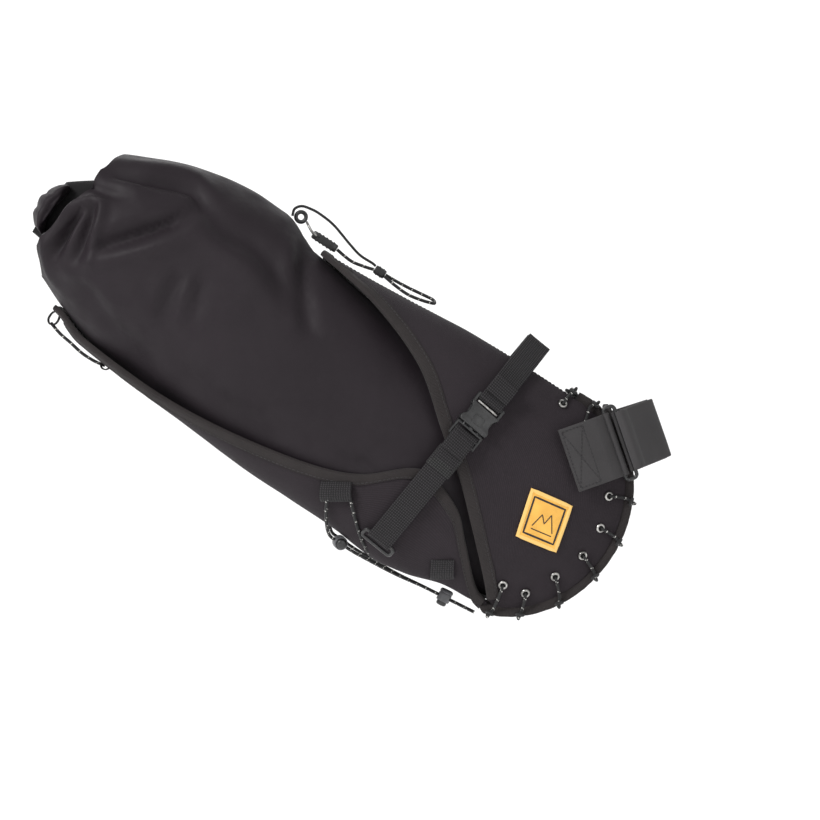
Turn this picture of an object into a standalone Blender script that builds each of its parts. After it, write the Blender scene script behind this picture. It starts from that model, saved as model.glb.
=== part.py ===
"""Saddle bag: a laced fabric holster that carries a roll-top dry bag behind a bicycle saddle.

The origin lies on the seatpost's axis, at the middle of the seatpost strap.
+X points forward along the bicycle, +Z points up, and the bag is symmetrical about the XZ plane.
Shapes are worked out in millimetres and stored in metres.
Places on the bag are given as (u, w, y): u runs along the bag towards its tail, w runs up out of
the bag's top, and y runs across it.
"""
from math import atan2, cos, hypot, pi, radians, sin, sqrt

import bmesh
import bpy
from mathutils import Matrix, Vector

MM = 0.001
GAP = 0.3  # clearance between touching pieces

# Attitude on the bicycle
BAG_TILT = radians(33)
POST_TILT = radians(19)
POST_RADIUS = 13.6

TAIL = Vector((-cos(BAG_TILT), 0, sin(BAG_TILT)))
UP = Vector((sin(BAG_TILT), 0, cos(BAG_TILT)))
ACROSS = Vector((0, 1, 0))
POST_FRONT = Vector((cos(POST_TILT), 0, sin(POST_TILT)))
POST_UP = Vector((-sin(POST_TILT), 0, cos(POST_TILT)))

# Holster shell
NOSE_U = 49
NOSE_W = -91
NOSE_LENGTH = 75
NOSE_HEIGHT = 87
MOUTH_U = 283
CRADLE_START = 29
CRADLE_END = 430
TONGUE_START = 335
PANEL_THICKNESS = 2.6
FLANGE = 6
FLANGE_THICKNESS = 2.4
BINDING_WIDTH = 7
BINDING_THICKNESS = 1.2

# Side view of the side panel's rear edge, and of the cradle's upper edge, as (u, w)
MOUTH_EDGE = [(34, -163), (65, -130), (96, -103), (130, -79), (173, -46), (229, -23), (282, -14.6)]
CRADLE_EDGE = [(29, -173.6), (45, -170), (75, -148), (92, -130), (119, -116), (136, -119),
               (164, -143), (200, -158), (262, -171), (320, -177), (380, -175.5), (430, -170.6)]

# Dry bag
BAG_START = 3
BAG_END = 470
BAG_WALL_GAP = 1.0

# Webbing and straps
WEBBING_WIDTH = 20
WEBBING_THICKNESS = 1.3
RAIL_W = 13
RAIL_Y = 24
RAIL_RADIUS = 3.5
STRAP_HEIGHT = 48
STRAP_THICKNESS = 2.0
RING_WIRE = 3.0

# Buckle, 20 mm side-release type
BUCKLE_LOW_W = -79
BUCKLE_HIGH_W = -41
BUCKLE_LIFT = 7.6

# Eyelets on each side panel, as (u, w)
EYELETS = [(64, -13), (41, -20), (-4, -53), (-12, -77), (-12, -102), (-3, -127), (12, -146),
           (27, -154)]
EYELET_RADIUS = 3.5
EYELET_HOLE = 2.0

SIDES = {"right": -1, "left": 1}


def smooth(x):
    """Ease from 0 to 1."""
    x = min(max(x, 0.0), 1.0)
    return x * x * (3 - 2 * x)


def ease(start, end, x):
    return start + (end - start) * smooth(x)


def at(u, w, y):
    """A place on the bag, as a point in millimetres."""
    return TAIL * u + UP * w + ACROSS * y


def at_post(forward, up, y):
    """A place beside the seatpost, measured from its axis."""
    return POST_FRONT * forward + POST_UP * up + ACROSS * y


def spline(points, count):
    """A smooth curve through the points, with count points evenly spaced in its own parameter."""
    points = [Vector(p) for p in points]
    ends = [points[0] * 2 - points[1]] + points + [points[-1] * 2 - points[-2]]
    curve = []
    for i in range(count):
        place = i / (count - 1) * (len(points) - 1)
        k = min(int(place), len(points) - 2)
        t = place - k
        a, b, c, d = ends[k:k + 4]
        curve.append(0.5 * (2 * b + (c - a) * t + (2 * a - 5 * b + 4 * c - d) * t * t
                            + (3 * b - a - 3 * c + d) * t ** 3))
    return curve


def height_on(points, u):
    """The height w at u on a smooth curve through (u, w) points."""
    curve = spline(points, 12 * len(points))
    for a, b in zip(curve, curve[1:]):
        if a.x <= u <= b.x:
            return a.y + (b.y - a.y) * (u - a.x) / (b.x - a.x)
    return curve[0].y if u < curve[0].x else curve[-1].y


# ---------------------------------------------------------------- materials

def material(name, colour, roughness, metallic=0.0):
    made = bpy.data.materials.new(name)
    made.use_nodes = True
    shader = made.node_tree.nodes["Principled BSDF"]
    shader.inputs["Base Color"].default_value = (*colour, 1)
    shader.inputs["Roughness"].default_value = roughness
    shader.inputs["Metallic"].default_value = metallic
    made.diffuse_color = (*colour, 1)
    return made


def make_materials():
    return {
        "coated_nylon": material("coated_nylon", (0.030, 0.027, 0.030), 0.5),
        "panel_fabric": material("panel_fabric", (0.022, 0.021, 0.024), 0.8),
        "binding": material("binding_tape", (0.035, 0.034, 0.031), 0.85),
        "webbing": material("webbing", (0.020, 0.020, 0.021), 0.75),
        "rubber": material("rubberised_strap", (0.050, 0.050, 0.050), 0.6),
        "plastic": material("black_plastic", (0.018, 0.018, 0.019), 0.4),
        "grey_plastic": material("grey_plastic", (0.16, 0.16, 0.17), 0.5),
        "label": material("amber_label", (0.85, 0.47, 0.07), 0.55),
        "nickel": material("nickel", (0.45, 0.45, 0.46), 0.3, 1.0),
        "cord": material("flecked_cord", (0.03, 0.03, 0.03), 0.8),
    }


# ---------------------------------------------------------------- mesh builders

def finish_mesh(name, builder, paint, smooth_angle=radians(40)):
    """Turn a closed bmesh, in millimetres, into an object."""
    bmesh.ops.recalc_face_normals(builder, faces=builder.faces)
    bmesh.ops.scale(builder, vec=(MM, MM, MM), verts=builder.verts)
    mesh = bpy.data.meshes.new(name)
    builder.to_mesh(mesh)
    builder.free()
    mesh.shade_smooth()
    mesh.set_sharp_from_angle(angle=smooth_angle)
    mesh.materials.append(paint)
    made = bpy.data.objects.new(name, mesh)
    bpy.context.collection.objects.link(made)
    return made


def slab(name, front, back, paint, ring=False):
    """A closed solid between two matching grids of points; ring joins the last row to the first."""
    rows = len(front)
    columns = len(front[0])
    builder = bmesh.new()
    corners = [[[builder.verts.new(p) for p in row] for row in grid] for grid in (front, back)]
    spans = [(r, (r + 1) % rows) for r in range(rows if ring else rows - 1)]
    for grid in corners:
        for r, s in spans:
            for c in range(columns - 1):
                builder.faces.new((grid[r][c], grid[r][c + 1], grid[s][c + 1], grid[s][c]))
    for c in (0, columns - 1):
        for r, s in spans:
            builder.faces.new((corners[0][r][c], corners[0][s][c], corners[1][s][c], corners[1][r][c]))
    if not ring:
        for r in (0, rows - 1):
            for c in range(columns - 1):
                builder.faces.new((corners[0][r][c], corners[0][r][c + 1],
                                   corners[1][r][c + 1], corners[1][r][c]))
    return finish_mesh(name, builder, paint)


def normals(grid, outward):
    """Unit normals of a grid of points, turned to the same side as outward(point)."""
    rows = len(grid)
    columns = len(grid[0])
    found = []
    for r in range(rows):
        line = []
        for c in range(columns):
            along = grid[min(r + 1, rows - 1)][c] - grid[max(r - 1, 0)][c]
            beside = grid[r][min(c + 1, columns - 1)] - grid[r][max(c - 1, 0)]
            normal = along.cross(beside).normalized()
            if normal.dot(outward(grid[r][c])) < 0:
                normal = -normal
            line.append(normal)
        found.append(line)
    return found


def shifted(grid, directions, distance):
    return [[p + n * distance for p, n in zip(*rows)] for rows in zip(grid, directions)]


def from_middle(point):
    """Direction away from the bag's long middle line."""
    along = min(max(point.dot(TAIL), 40), 420)
    return point - at(along, NOSE_W, 0)


def ribbon(name, path, across, width, thickness, paint, loop=False):
    """A flat band along a path. Across is one direction, or one for each point of the path."""
    count = len(path)
    front = []
    back = []
    for i, point in enumerate(path):
        after = path[(i + 1) % count] if loop else path[min(i + 1, count - 1)]
        before = path[i - 1] if loop or i else path[0]
        side = across[i] if isinstance(across, list) else across
        normal = (after - before).cross(side).normalized() * thickness / 2
        side = side.normalized() * width / 2
        front.append([point + normal - side, point + normal + side])
        back.append([point - normal - side, point - normal + side])
    return slab(name, front, back, paint, ring=loop)


def tube(name, points, radius, paint, closed=False):
    """A round cord or wire along a smooth curve's points."""
    data = bpy.data.curves.new(name, "CURVE")
    data.dimensions = "3D"
    data.bevel_depth = radius * MM
    data.bevel_resolution = 2
    data.use_fill_caps = True
    line = data.splines.new("POLY")
    line.points.add(len(points) - 1)
    for spot, point in zip(line.points, points):
        spot.co = (*(point * MM), 1)
    line.use_cyclic_u = closed
    data.materials.append(paint)
    made = bpy.data.objects.new(name, data)
    bpy.context.collection.objects.link(made)
    return made


def box(builder, size, centre, turn=Matrix.Identity(4)):
    """Add a box to a bmesh."""
    place = turn @ Matrix.Translation(centre) @ Matrix.Diagonal((*size, 1))
    bmesh.ops.create_cube(builder, size=1, matrix=place)


def cylinder(builder, radius, length, place, sides=24):
    bmesh.ops.create_cone(builder, cap_ends=True, segments=sides, radius1=radius, radius2=radius,
                          depth=length, matrix=place)


def cutter(name, builder):
    made = finish_mesh(name, builder, None)
    made.hide_render = True
    made.display_type = "WIRE"
    return made


def combine(target, tool, operation):
    step = target.modifiers.new(operation.lower(), "BOOLEAN")
    step.operation = operation
    step.object = tool


def frame(origin, x_axis, y_axis, z_axis):
    """A matrix that places local axes at an origin, all in millimetres."""
    place = Matrix((x_axis, y_axis, z_axis)).transposed().to_4x4()
    place.translation = origin
    return place


# ---------------------------------------------------------------- shape of the shell

def top_line(u):
    return ease(-4, -14, (u - 110) / (MOUTH_U - 110))


def bottom_line(u):
    dip = ease(-178, -189, (u - NOSE_U) / 80)
    rise = ease(0, 6, (u - 220) / 115)
    return dip + rise + max(0, u - TONGUE_START) * 0.12


def strip_half(u):
    """Half width of the centre strip that joins the two side panels."""
    return ease(38, 30, (u - 60) / 200)


def shell_half(u):
    """Greatest half width of the holster."""
    return ease(58, 80, (u + 32) / 192)


def fullness(u):
    """Power of the side wall's bulge: near 1 for a shallow dome, 0.5 for an ellipse."""
    return ease(0.85, 0.5, (u - 30) / 130)


def reach(u, w):
    """How far a place in the side view is from the middle, where 1 is the shell's outline."""
    if u < NOSE_U:
        return hypot((u - NOSE_U) / NOSE_LENGTH, (w - NOSE_W) / NOSE_HEIGHT)
    middle = (top_line(u) + bottom_line(u)) / 2
    return abs(w - middle) / (top_line(u) - middle)


def wall(u, w):
    """Half width of the shell's outer face at a place in the side view."""
    strip = strip_half(u)
    return strip + (shell_half(u) - strip) * (1 - min(reach(u, w), 1) ** 2.2) ** fullness(u)


def nose(angle, extra=0.0):
    """(u, w) on the nose's outline. The angle is 0 at the front and pi/2 at the top."""
    return (NOSE_U - (NOSE_LENGTH + extra) * cos(angle), NOSE_W + (NOSE_HEIGHT + extra) * sin(angle))


NOSE_BOTTOM = radians(-70)


def outline(t):
    """(u, w) along the side panel's front and top outline, for t from 0 to 1."""
    if t < 0.55:
        return nose(NOSE_BOTTOM + (pi / 2 - NOSE_BOTTOM) * t / 0.55)
    u = NOSE_U + (MOUTH_U - NOSE_U) * (t - 0.55) / 0.45
    return u, top_line(u)


# ---------------------------------------------------------------- holster

def side_panel(name, side, paint):
    rows = 30
    columns = 8
    edge = spline([(u, w, 0) for u, w in MOUTH_EDGE], rows)
    grid = []
    for r in range(rows):
        far = Vector((*outline(r / (rows - 1)), 0))
        line = []
        for c in range(columns + 1):
            spot = edge[r].lerp(far, 0.995 * sin(pi / 2 * c / columns))
            line.append(at(spot.x, spot.y, side * (wall(spot.x, spot.y) + GAP)))
        grid.append(line)
    inner = shifted(grid, normals(grid, from_middle), -PANEL_THICKNESS)
    return slab(name, grid, inner, paint)


def centre_strip(name, places, inset, paint, columns=4):
    """Part of the strip between the side panels, through outline places (u, w, outward)."""
    grid = []
    directions = []
    for (u, w), outward in places:
        half = strip_half(u) - inset
        grid.append([at(u, w, -half + 2 * half * c / columns) for c in range(columns + 1)])
        directions.append([TAIL * outward[0] + UP * outward[1]] * (columns + 1))
    return slab(name, grid, shifted(grid, directions, -PANEL_THICKNESS + 0.4), paint)


def nose_places(start, end, count, extra=0.0):
    """Outline places round the nose, each with its outward direction."""
    places = []
    for i in range(count):
        angle = start + (end - start) * i / (count - 1)
        slope = Vector((-cos(angle) / NOSE_LENGTH, sin(angle) / NOSE_HEIGHT)).normalized()
        places.append((nose(angle, extra), slope))
    return places


def holster(paints):
    for word, side in SIDES.items():
        side_panel(f"side_panel_{word}", side, paints["panel_fabric"])
        rim_binding(f"rim_binding_{word}", side, paints["binding"])
    centre_strip("nose_gusset", nose_places(NOSE_BOTTOM, pi / 2, 24), 3.6, paints["rubber"])
    top = []
    for i in range(12):
        u = NOSE_U + 1 + (MOUTH_U - NOSE_U - 1) * i / 11
        top.append(((u, top_line(u)), (0, 1)))
    centre_strip("top_panel", top, 2.4, paints["panel_fabric"])
    mouth_binding(paints["binding"])
    cradle(paints)


def rim_binding(name, side, paint):
    """The bound seam that stands out round the nose's edge."""
    front = []
    back = []
    for (u, w), slope in nose_places(NOSE_BOTTOM, radians(96), 26):
        y = strip_half(u) + GAP
        inner = at(u + 0.5 * slope.x, w + 0.5 * slope.y, 0)
        outer = at(u + FLANGE * slope.x, w + FLANGE * slope.y, 0)
        front.append([inner + ACROSS * side * y, outer + ACROSS * side * y])
        back.append([inner + ACROSS * side * (y - FLANGE_THICKNESS),
                     outer + ACROSS * side * (y - FLANGE_THICKNESS)])
    return slab(name, front, back, paint)


def mouth_binding(paint):
    """Tape along the rear edge of both side panels and over the top panel."""
    count = 28
    edge = spline([(u, w, 0) for u, w in MOUTH_EDGE], count)
    stations = []
    for side in (-1, 1):
        line = []
        for i, spot in enumerate(edge):
            before = edge[max(i - 1, 0)]
            after = edge[min(i + 1, count - 1)]
            along = (after - before).normalized()
            inward = Vector((along.y, -along.x, 0))
            if inward.x > 0:
                inward = -inward
            if i > count - 5:
                inward = Vector((-1, 0, 0))
            inner = spot + inward * BINDING_WIDTH
            pair = []
            for p in (spot + inward * 0.3, inner):
                height = min(p.y, top_line(p.x) - 0.05)
                pair.append(at(p.x, height, side * (wall(p.x, height) + GAP)))
            line.append(pair)
        stations.append(line)
    across_top = []
    for i in range(1, 6):
        y = strip_half(MOUTH_U) * (i / 3 - 1)
        across_top.append([at(u, top_line(u), y) for u in (MOUTH_U - 0.8, MOUTH_U - 0.8 - BINDING_WIDTH)])
    grid = stations[0] + across_top + stations[1][::-1]
    out = normals(grid, from_middle)
    lift = 0.9
    slab("mouth_binding", shifted(grid, out, lift + BINDING_THICKNESS), shifted(grid, out, lift), paint)


def cradle_row(u, columns):
    """Points across the cradle's outer face at u, from its right edge to its left edge."""
    middle = (top_line(min(u, MOUTH_U)) + bottom_line(u)) / 2
    if u < NOSE_U:
        low = NOSE_W - NOSE_HEIGHT * sqrt(1 - ((u - NOSE_U) / NOSE_LENGTH) ** 2)
        middle = NOSE_W
    else:
        low = bottom_line(u)
    edge = max(height_on(CRADLE_EDGE, u), low + 0.4)
    narrow = 1 - 0.45 * smooth((u - 350) / (CRADLE_END - 350))
    start = (middle - edge) / (middle - low)
    right = []
    for c in range(columns):
        part = start + (1 - start) * sin(pi / 2 * c / columns)
        w = middle + (low - middle) * part
        right.append((w, -wall_at(u, part) * narrow))
    flat = strip_half(u) * narrow
    bottom = [(low, -flat), (low, -flat / 2), (low, 0), (low, flat / 2), (low, flat)]
    left = [(w, -y) for w, y in right[::-1]]
    return [at(u, w, y) for w, y in right + bottom + left]


def wall_at(u, part):
    strip = strip_half(u)
    return strip + (shell_half(u) - strip) * (1 - min(part, 1) ** 2.2) ** fullness(u)


def cradle(paints):
    rows = 34
    grid = [cradle_row(CRADLE_START + (CRADLE_END - CRADLE_START) * r / (rows - 1), 6)
            for r in range(rows)]
    out = normals(grid, from_middle)
    slab("cradle", grid, shifted(grid, out, -PANEL_THICKNESS), paints["panel_fabric"])
    last = len(grid[0]) - 1
    edge = [(grid[r][0], grid[r][1], out[r][0]) for r in range(1, rows - 1)]
    edge += [(grid[-1][c], grid[-2][min(max(c, 1), last - 1)], out[-1][c]) for c in range(last + 1)]
    edge += [(grid[r][last], grid[r][last - 1], out[r][last]) for r in range(rows - 2, 0, -1)]
    band = []
    lift = []
    for corner, inside, normal in edge:
        inward = (inside - corner).normalized()
        band.append([corner + inward * 0.3, corner + inward * BINDING_WIDTH])
        lift.append([normal, normal])
    slab("cradle_binding", shifted(band, lift, GAP + BINDING_THICKNESS + 0.5),
         shifted(band, lift, GAP + 0.5), paints["binding"])


# ---------------------------------------------------------------- dry bag

def bag_section(u):
    """Top, bottom, strip half width and greatest half width of the dry bag at u."""
    inner = PANEL_THICKNESS + BAG_WALL_GAP
    if u <= MOUTH_U:
        top = -18.6 - (MOUTH_U - u) * 0.142
    else:
        top = ease(-18.6, -4.5, (u - MOUTH_U) / 42) - 18 * max(0, (u - 345) / 90) ** 2
    if u < NOSE_U:
        low = NOSE_W - (NOSE_HEIGHT - inner - 3) * sqrt(1 - ((u - NOSE_U) / (NOSE_LENGTH - inner - 4)) ** 2)
    else:
        low = bottom_line(u) + inner
    low += 22 * smooth((u - 390) / 90)
    end = smooth((u - 435) / (BAG_END - 435))
    middle = (top + low) / 2
    half = (top - low) / 2 * (1 - 0.42 * end * end)
    wide = (shell_half(u) - inner - ease(9, 0.8, u / 150)) * (1 - 0.32 * end * end)
    strip = ease(strip_half(u) - 10, 8, (u - 250) / 120)
    return middle + half, middle - half, strip, wide


def dry_bag(paints):
    builder = bmesh.new()
    stations = [BAG_START, 9, 20, 35, 52, 80, 115, 160, 220, 268, 283, 296, 312, 330, 355, 385,
                410, 430, 445, 456, 464, BAG_END]
    steps = 10
    rings = []
    for u in stations:
        top, low, strip, wide = bag_section(u)
        right = []
        for i in range(steps + 1):
            part = sin(pi * (i / steps - 0.5))
            bulge = (1 - abs(part) ** 2.2) ** (fullness(u) + 0.05)
            right.append(((top + low) / 2 + (top - low) / 2 * part, strip + (wide - strip) * bulge))
        ring = [at(u, w, -y) for w, y in right] + [at(u, w, y) for w, y in right[::-1]]
        rings.append([builder.verts.new(p) for p in ring])
    for a, b in zip(rings, rings[1:]):
        for i in range(len(a)):
            j = (i + 1) % len(a)
            builder.faces.new((a[i], a[j], b[j], b[i]))
    builder.faces.new(rings[0])
    builder.faces.new(rings[-1])
    finish_mesh("dry_bag", builder, paints["coated_nylon"])


ROLL_U = 476
ROLL_W = -94
ROLL_HALF_THICKNESS = 6.5
ROLL_HALF_HEIGHT = 29


def roll_closure(paints):
    """The rolled mouth of the dry bag: a flat roll bent into a C, closed inside it by a buckle."""
    turns = 14
    sides = 12
    builder = bmesh.new()
    rings = []
    for i in range(turns + 1):
        angle = radians(-80 + 160 * i / turns)
        ring = []
        for k in range(sides):
            turn = 2 * pi * k / sides
            away = ROLL_HALF_THICKNESS * cos(turn)
            u = ROLL_U + (13.5 + away) * cos(angle)
            ring.append(at(u, ROLL_W + ROLL_HALF_HEIGHT * sin(turn), (38 + away) * sin(angle)))
        rings.append([builder.verts.new(p) for p in ring])
    for a, b in zip(rings, rings[1:]):
        for k in range(sides):
            m = (k + 1) % sides
            builder.faces.new((a[k], a[m], b[m], b[k]))
    builder.faces.new(rings[0])
    builder.faces.new(rings[-1])
    finish_mesh("roll_closure", builder, paints["coated_nylon"])
    small = 0.78
    place = frame(at(ROLL_U, ROLL_W, -18.4 * small), ACROSS, UP, ACROSS.cross(UP)) @ Matrix.Scale(small, 4)
    buckle_male("roll_buckle_male", place, paints["plastic"])
    buckle_female("roll_buckle_female", place, paints["plastic"])


# ---------------------------------------------------------------- laced eyelets and label

def on_wall(u, w, side, lift):
    """A place on the shell's outer face, raised by lift, and the face's outward direction there."""
    step = 1.5
    here = at(u, w, side * wall(u, w))
    along = at(u + step, w, side * wall(u + step, w)) - at(u - step, w, side * wall(u - step, w))
    upward = at(u, w + step, side * wall(u, w + step)) - at(u, w - step, side * wall(u, w - step))
    outward = along.cross(upward).normalized()
    if outward.y * side < 0:
        outward = -outward
    return here + outward * lift, outward


def facing(origin, outward, toward):
    """Local axes with z along outward and x as near as it can be to toward."""
    x_axis = (toward - outward * toward.dot(outward)).normalized()
    return frame(origin, x_axis, outward.cross(x_axis), outward)


def eyelet(name, u, w, side, paint):
    """A pressed metal ring with a rounded lip."""
    centre, outward = on_wall(u, w, side, 1.0)
    place = facing(centre, outward, UP)
    profile = [(EYELET_HOLE, 0), (EYELET_HOLE, 0.7), (2.5, 1.1), (3.0, 1.1), (EYELET_RADIUS, 0.5),
               (EYELET_RADIUS, 0)]
    builder = bmesh.new()
    turns = 16
    rings = []
    for i in range(turns):
        angle = 2 * pi * i / turns
        rings.append([builder.verts.new(place @ Vector((r * cos(angle), r * sin(angle), z)))
                      for r, z in profile])
    for i in range(turns):
        a = rings[i]
        b = rings[(i + 1) % turns]
        for k in range(len(profile)):
            m = (k + 1) % len(profile)
            builder.faces.new((a[k], a[m], b[m], b[k]))
    finish_mesh(name, builder, paint)


def lacing(name, side, paint):
    """Cord whipped over the bound rim, from eyelet to eyelet."""
    route = []
    for i, (u, w) in enumerate(EYELETS):
        angle = atan2((w - NOSE_W) / NOSE_HEIGHT, (NOSE_U - u) / NOSE_LENGTH)
        if i == 1:
            angle += radians(6)  # leans back, clear of the strap's ring
        over = nose(angle - radians(4), FLANGE + 3)
        back = nose(angle - radians(9), 4)
        strip = strip_half(u)
        if i:
            route.append(at(*nose((angle + last_angle) / 2, 4), side * (strip - 7)))
            before = nose(angle + radians(4), FLANGE + 3)
            route.append(at(*before, side * (strip - 2)))
            route.append(at(*nose(angle + radians(3), FLANGE), side * (strip + 3.2)))
        route.append(on_wall(u, w, side, 4.2)[0])
        route.append(at(*nose(angle - radians(2), FLANGE), side * (strip + 3.2)))
        route.append(at(*over, side * (strip - 1)))
        if i < len(EYELETS) - 1:
            route.append(at(*back, side * (strip - 7)))
        last_angle = angle
    tube(name, spline(route, 2 * len(route) + 10), 1.1, paint)


def label_patch(paint):
    """A square woven label sewn flat on the right panel."""
    corners = ((50, -80), (16, -74.5), (7, -111), (40, -117))
    low_left, low_right, high_right, high_left = [Vector(c) for c in corners]
    steps = 4
    grid = []
    out = []
    for r in range(steps + 1):
        line = []
        turned = []
        for c in range(steps + 1):
            near = low_left.lerp(low_right, c / steps)
            far = high_left.lerp(high_right, c / steps)
            u, w = near.lerp(far, r / steps)
            spot, outward = on_wall(u, w, -1, 0.8)
            line.append(spot)
            turned.append(outward)
        grid.append(line)
        out.append(turned)
    slab("label_patch", shifted(grid, out, 1.0), grid, paint)


def trim(paints):
    for word, side in SIDES.items():
        for number, (u, w) in enumerate(EYELETS, 1):
            eyelet(f"eyelet_{word}_{number}", u, w, side, paints["nickel"])
        lacing(f"lacing_cord_{word}", side, paints["cord"])
    label_patch(paints["label"])


# ---------------------------------------------------------------- seatpost strap

RING_FORWARD = -17.5
RING_Y = 45.5
RING_SPAN = 9


PAD_THICKNESS = 4.6
PAD_HEIGHT = 62
PAD_WIDTH = 56


def grip_pad(paint):
    """Pad between the nose and the seatpost, with a flat front face."""
    builder = bmesh.new()
    place = frame(at_post(-POST_RADIUS - 0.2 - PAD_THICKNESS / 2, 0, 0), POST_FRONT, ACROSS, POST_UP)
    box(builder, (PAD_THICKNESS, PAD_WIDTH, PAD_HEIGHT), (0, 0, 0), place)
    finish_mesh("grip_pad", builder, paint)


def arc(centre, radius, start, end, steps):
    """Points (forward, y) round a centre, angles in degrees from forward towards +y."""
    points = []
    for i in range(steps + 1):
        angle = radians(start + (end - start) * i / steps)
        points.append((centre[0] + radius * cos(angle), centre[1] + radius * sin(angle)))
    return points


def post_ribbon(name, route, height, paint, thickness=STRAP_THICKNESS, up=0.0):
    path = [at_post(forward, up, y) for forward, y in route]
    return ribbon(name, path, POST_UP, height, thickness, paint)


def post_strap(paints):
    eye = RING_WIRE / 2 + GAP + STRAP_THICKNESS / 2
    front_bar = (RING_FORWARD + RING_SPAN / 2, -RING_Y)
    rear_bar = (RING_FORWARD - RING_SPAN / 2, -RING_Y)
    wrap = POST_RADIUS + 0.6 + STRAP_THICKNESS / 2
    left = [(-58, 66.5), (-46, 62.5), (-34, 57.5), (-22, 50.5), (-13, 43.5)]
    around = arc((0, 0), wrap, 52, -38, 9)
    bar = arc(front_bar, eye, 62, 205, 8)
    post_ribbon("post_strap", left + around + bar, STRAP_HEIGHT, paints["rubber"])
    flap = [(-13, -50.7), (-9, -50.1), (-6.2, -45.7), (-4, -39.9), (1.5, -31), (8, -21),
            (14.2, -12.2), (17.6, -6), (18.6, -1.5)]
    post_ribbon("post_strap_flap", flap, STRAP_HEIGHT - 1, paints["rubber"])
    anchor = [(-60, -66), (-46, -61.8), (-36, -57.8), (-30.4, -55.2), (-25.4, -51.2)]
    anchor += arc(rear_bar, eye, -118, 95, 10)
    post_ribbon("post_strap_anchor", anchor, STRAP_HEIGHT + 2, paints["rubber"])
    half = STRAP_HEIGHT / 2 + 5
    corner = 3
    loop = []
    for start, forward, up in ((0, 1, 1), (90, -1, 1), (180, -1, -1), (270, 1, -1)):
        for i in range(4):
            angle = radians(start + 30 * i)
            loop.append(at_post(RING_FORWARD + forward * (RING_SPAN / 2 - corner) + corner * cos(angle),
                                up * (half - corner) + corner * sin(angle), -RING_Y))
    tube("post_ring", loop, RING_WIRE / 2, paints["plastic"], closed=True)


# ---------------------------------------------------------------- saddle-rail straps and buckles

def strap_u(w):
    """The hoop strap leans slightly: u along its centre line at height w."""
    return 105 + 0.107 * (12 - w)


def strap_at(spot, side):
    """A place on the plane of the hoop strap, from (w, y)."""
    w, y = spot
    return at(strap_u(w), w, side * y)


def strap_across(side):
    """Direction across the hoop strap, which lies flat on the widening holster."""
    widening = (wall(128, -85) - wall(104, -85)) / 24
    return (TAIL + UP * 0.107 + ACROSS * side * widening).normalized()


def taut(points):
    """The outer hull of points (w, y) that are in order of w, as a taut strap lies on them."""
    hull = []
    for p in points:
        while len(hull) > 1:
            (aw, ay), (bw, by) = hull[-2:]
            if (bw - aw) * (p[1] - ay) - (by - ay) * (p[0] - aw) < 0:
                break
            hull.pop()
        hull.append(p)
    return hull


def surface(start, end, lift, steps=14):
    """Points (w, y) over the shell under the strap, raised along its outward direction."""
    points = []
    for i in range(steps + 1):
        w = start + (end - start) * i / steps
        u = strap_u(w)
        slope = (wall(u, w + 0.8) - wall(u, w - 0.8)) / 1.6
        scale = 1 / hypot(1, slope)
        points.append((w - slope * scale * lift, wall(u, w) + scale * lift))
    return points


def buckle_frame(side):
    """Local axes of the buckle: x along the strap towards the rail, y across it, z outward."""
    low = surface(BUCKLE_LOW_W, BUCKLE_LOW_W + 1, BUCKLE_LIFT, 1)[0]
    high = surface(BUCKLE_HIGH_W, BUCKLE_HIGH_W + 1, BUCKLE_LIFT, 1)[0]
    start = strap_at(low, side)
    x_axis = (strap_at(high, side) - start).normalized()
    z_axis = x_axis.cross(strap_across(side)).normalized()
    if z_axis.y * side < 0:
        z_axis = -z_axis
    return frame(start, x_axis, z_axis.cross(x_axis), z_axis)


def to_wy(point, side):
    return point.dot(UP), side * point.y


def bar_turn(place, x, radius, start, end, steps, side):
    """Points (w, y) round a buckle bar at x; angles in degrees from x towards the outward side."""
    points = []
    for i in range(steps + 1):
        angle = radians(start + (end - start) * i / steps)
        points.append(to_wy(place @ Vector((x + radius * cos(angle), 0, radius * sin(angle))), side))
    return points


MALE_BAR = 5.0
FEMALE_BAR = 36.7
BAR_RADIUS = 1.9


def upper_strap(name, side, place, paint):
    """Loop from the female buckle round the saddle rail and back."""
    eye = BAR_RADIUS + GAP + WEBBING_THICKNESS / 2
    rail = RAIL_RADIUS + 1.2 + WEBBING_THICKNESS / 2
    lift = 2.4 + WEBBING_THICKNESS / 2
    shoulder = surface(BUCKLE_HIGH_W + 12, -6.5, lift, 8)
    inner_start = bar_turn(place, FEMALE_BAR, eye, -90, -90, 1, side)[:1]
    rail_low = [(RAIL_W - rail * cos(radians(a)), RAIL_Y + rail * sin(radians(a))) for a in (20, -10)]
    inner = taut(inner_start + shoulder) + rail_low
    rail_back = [(RAIL_W - rail * cos(radians(a)), RAIL_Y + rail * sin(radians(a)))
                 for a in range(-35, -181, -24)]
    outer_lift = lift + WEBBING_THICKNESS + 1.0
    top = [(RAIL_W - rail * cos(radians(a)), RAIL_Y + rail * sin(radians(a)))
           for a in range(140, 181, 10)]
    outer_end = bar_turn(place, FEMALE_BAR, eye, 90, 90, 1, side)[:1]
    outer = taut(outer_end + surface(BUCKLE_HIGH_W + 12, -7, outer_lift, 8) + top)
    bar = bar_turn(place, FEMALE_BAR, eye, 120, 240, 5, side)
    route = inner + rail_back + outer[::-1][1:] + bar
    path = [strap_at(p, side) for p in route]
    return ribbon(name, path, strap_across(side), WEBBING_WIDTH, WEBBING_THICKNESS, paint, loop=True)


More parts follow.
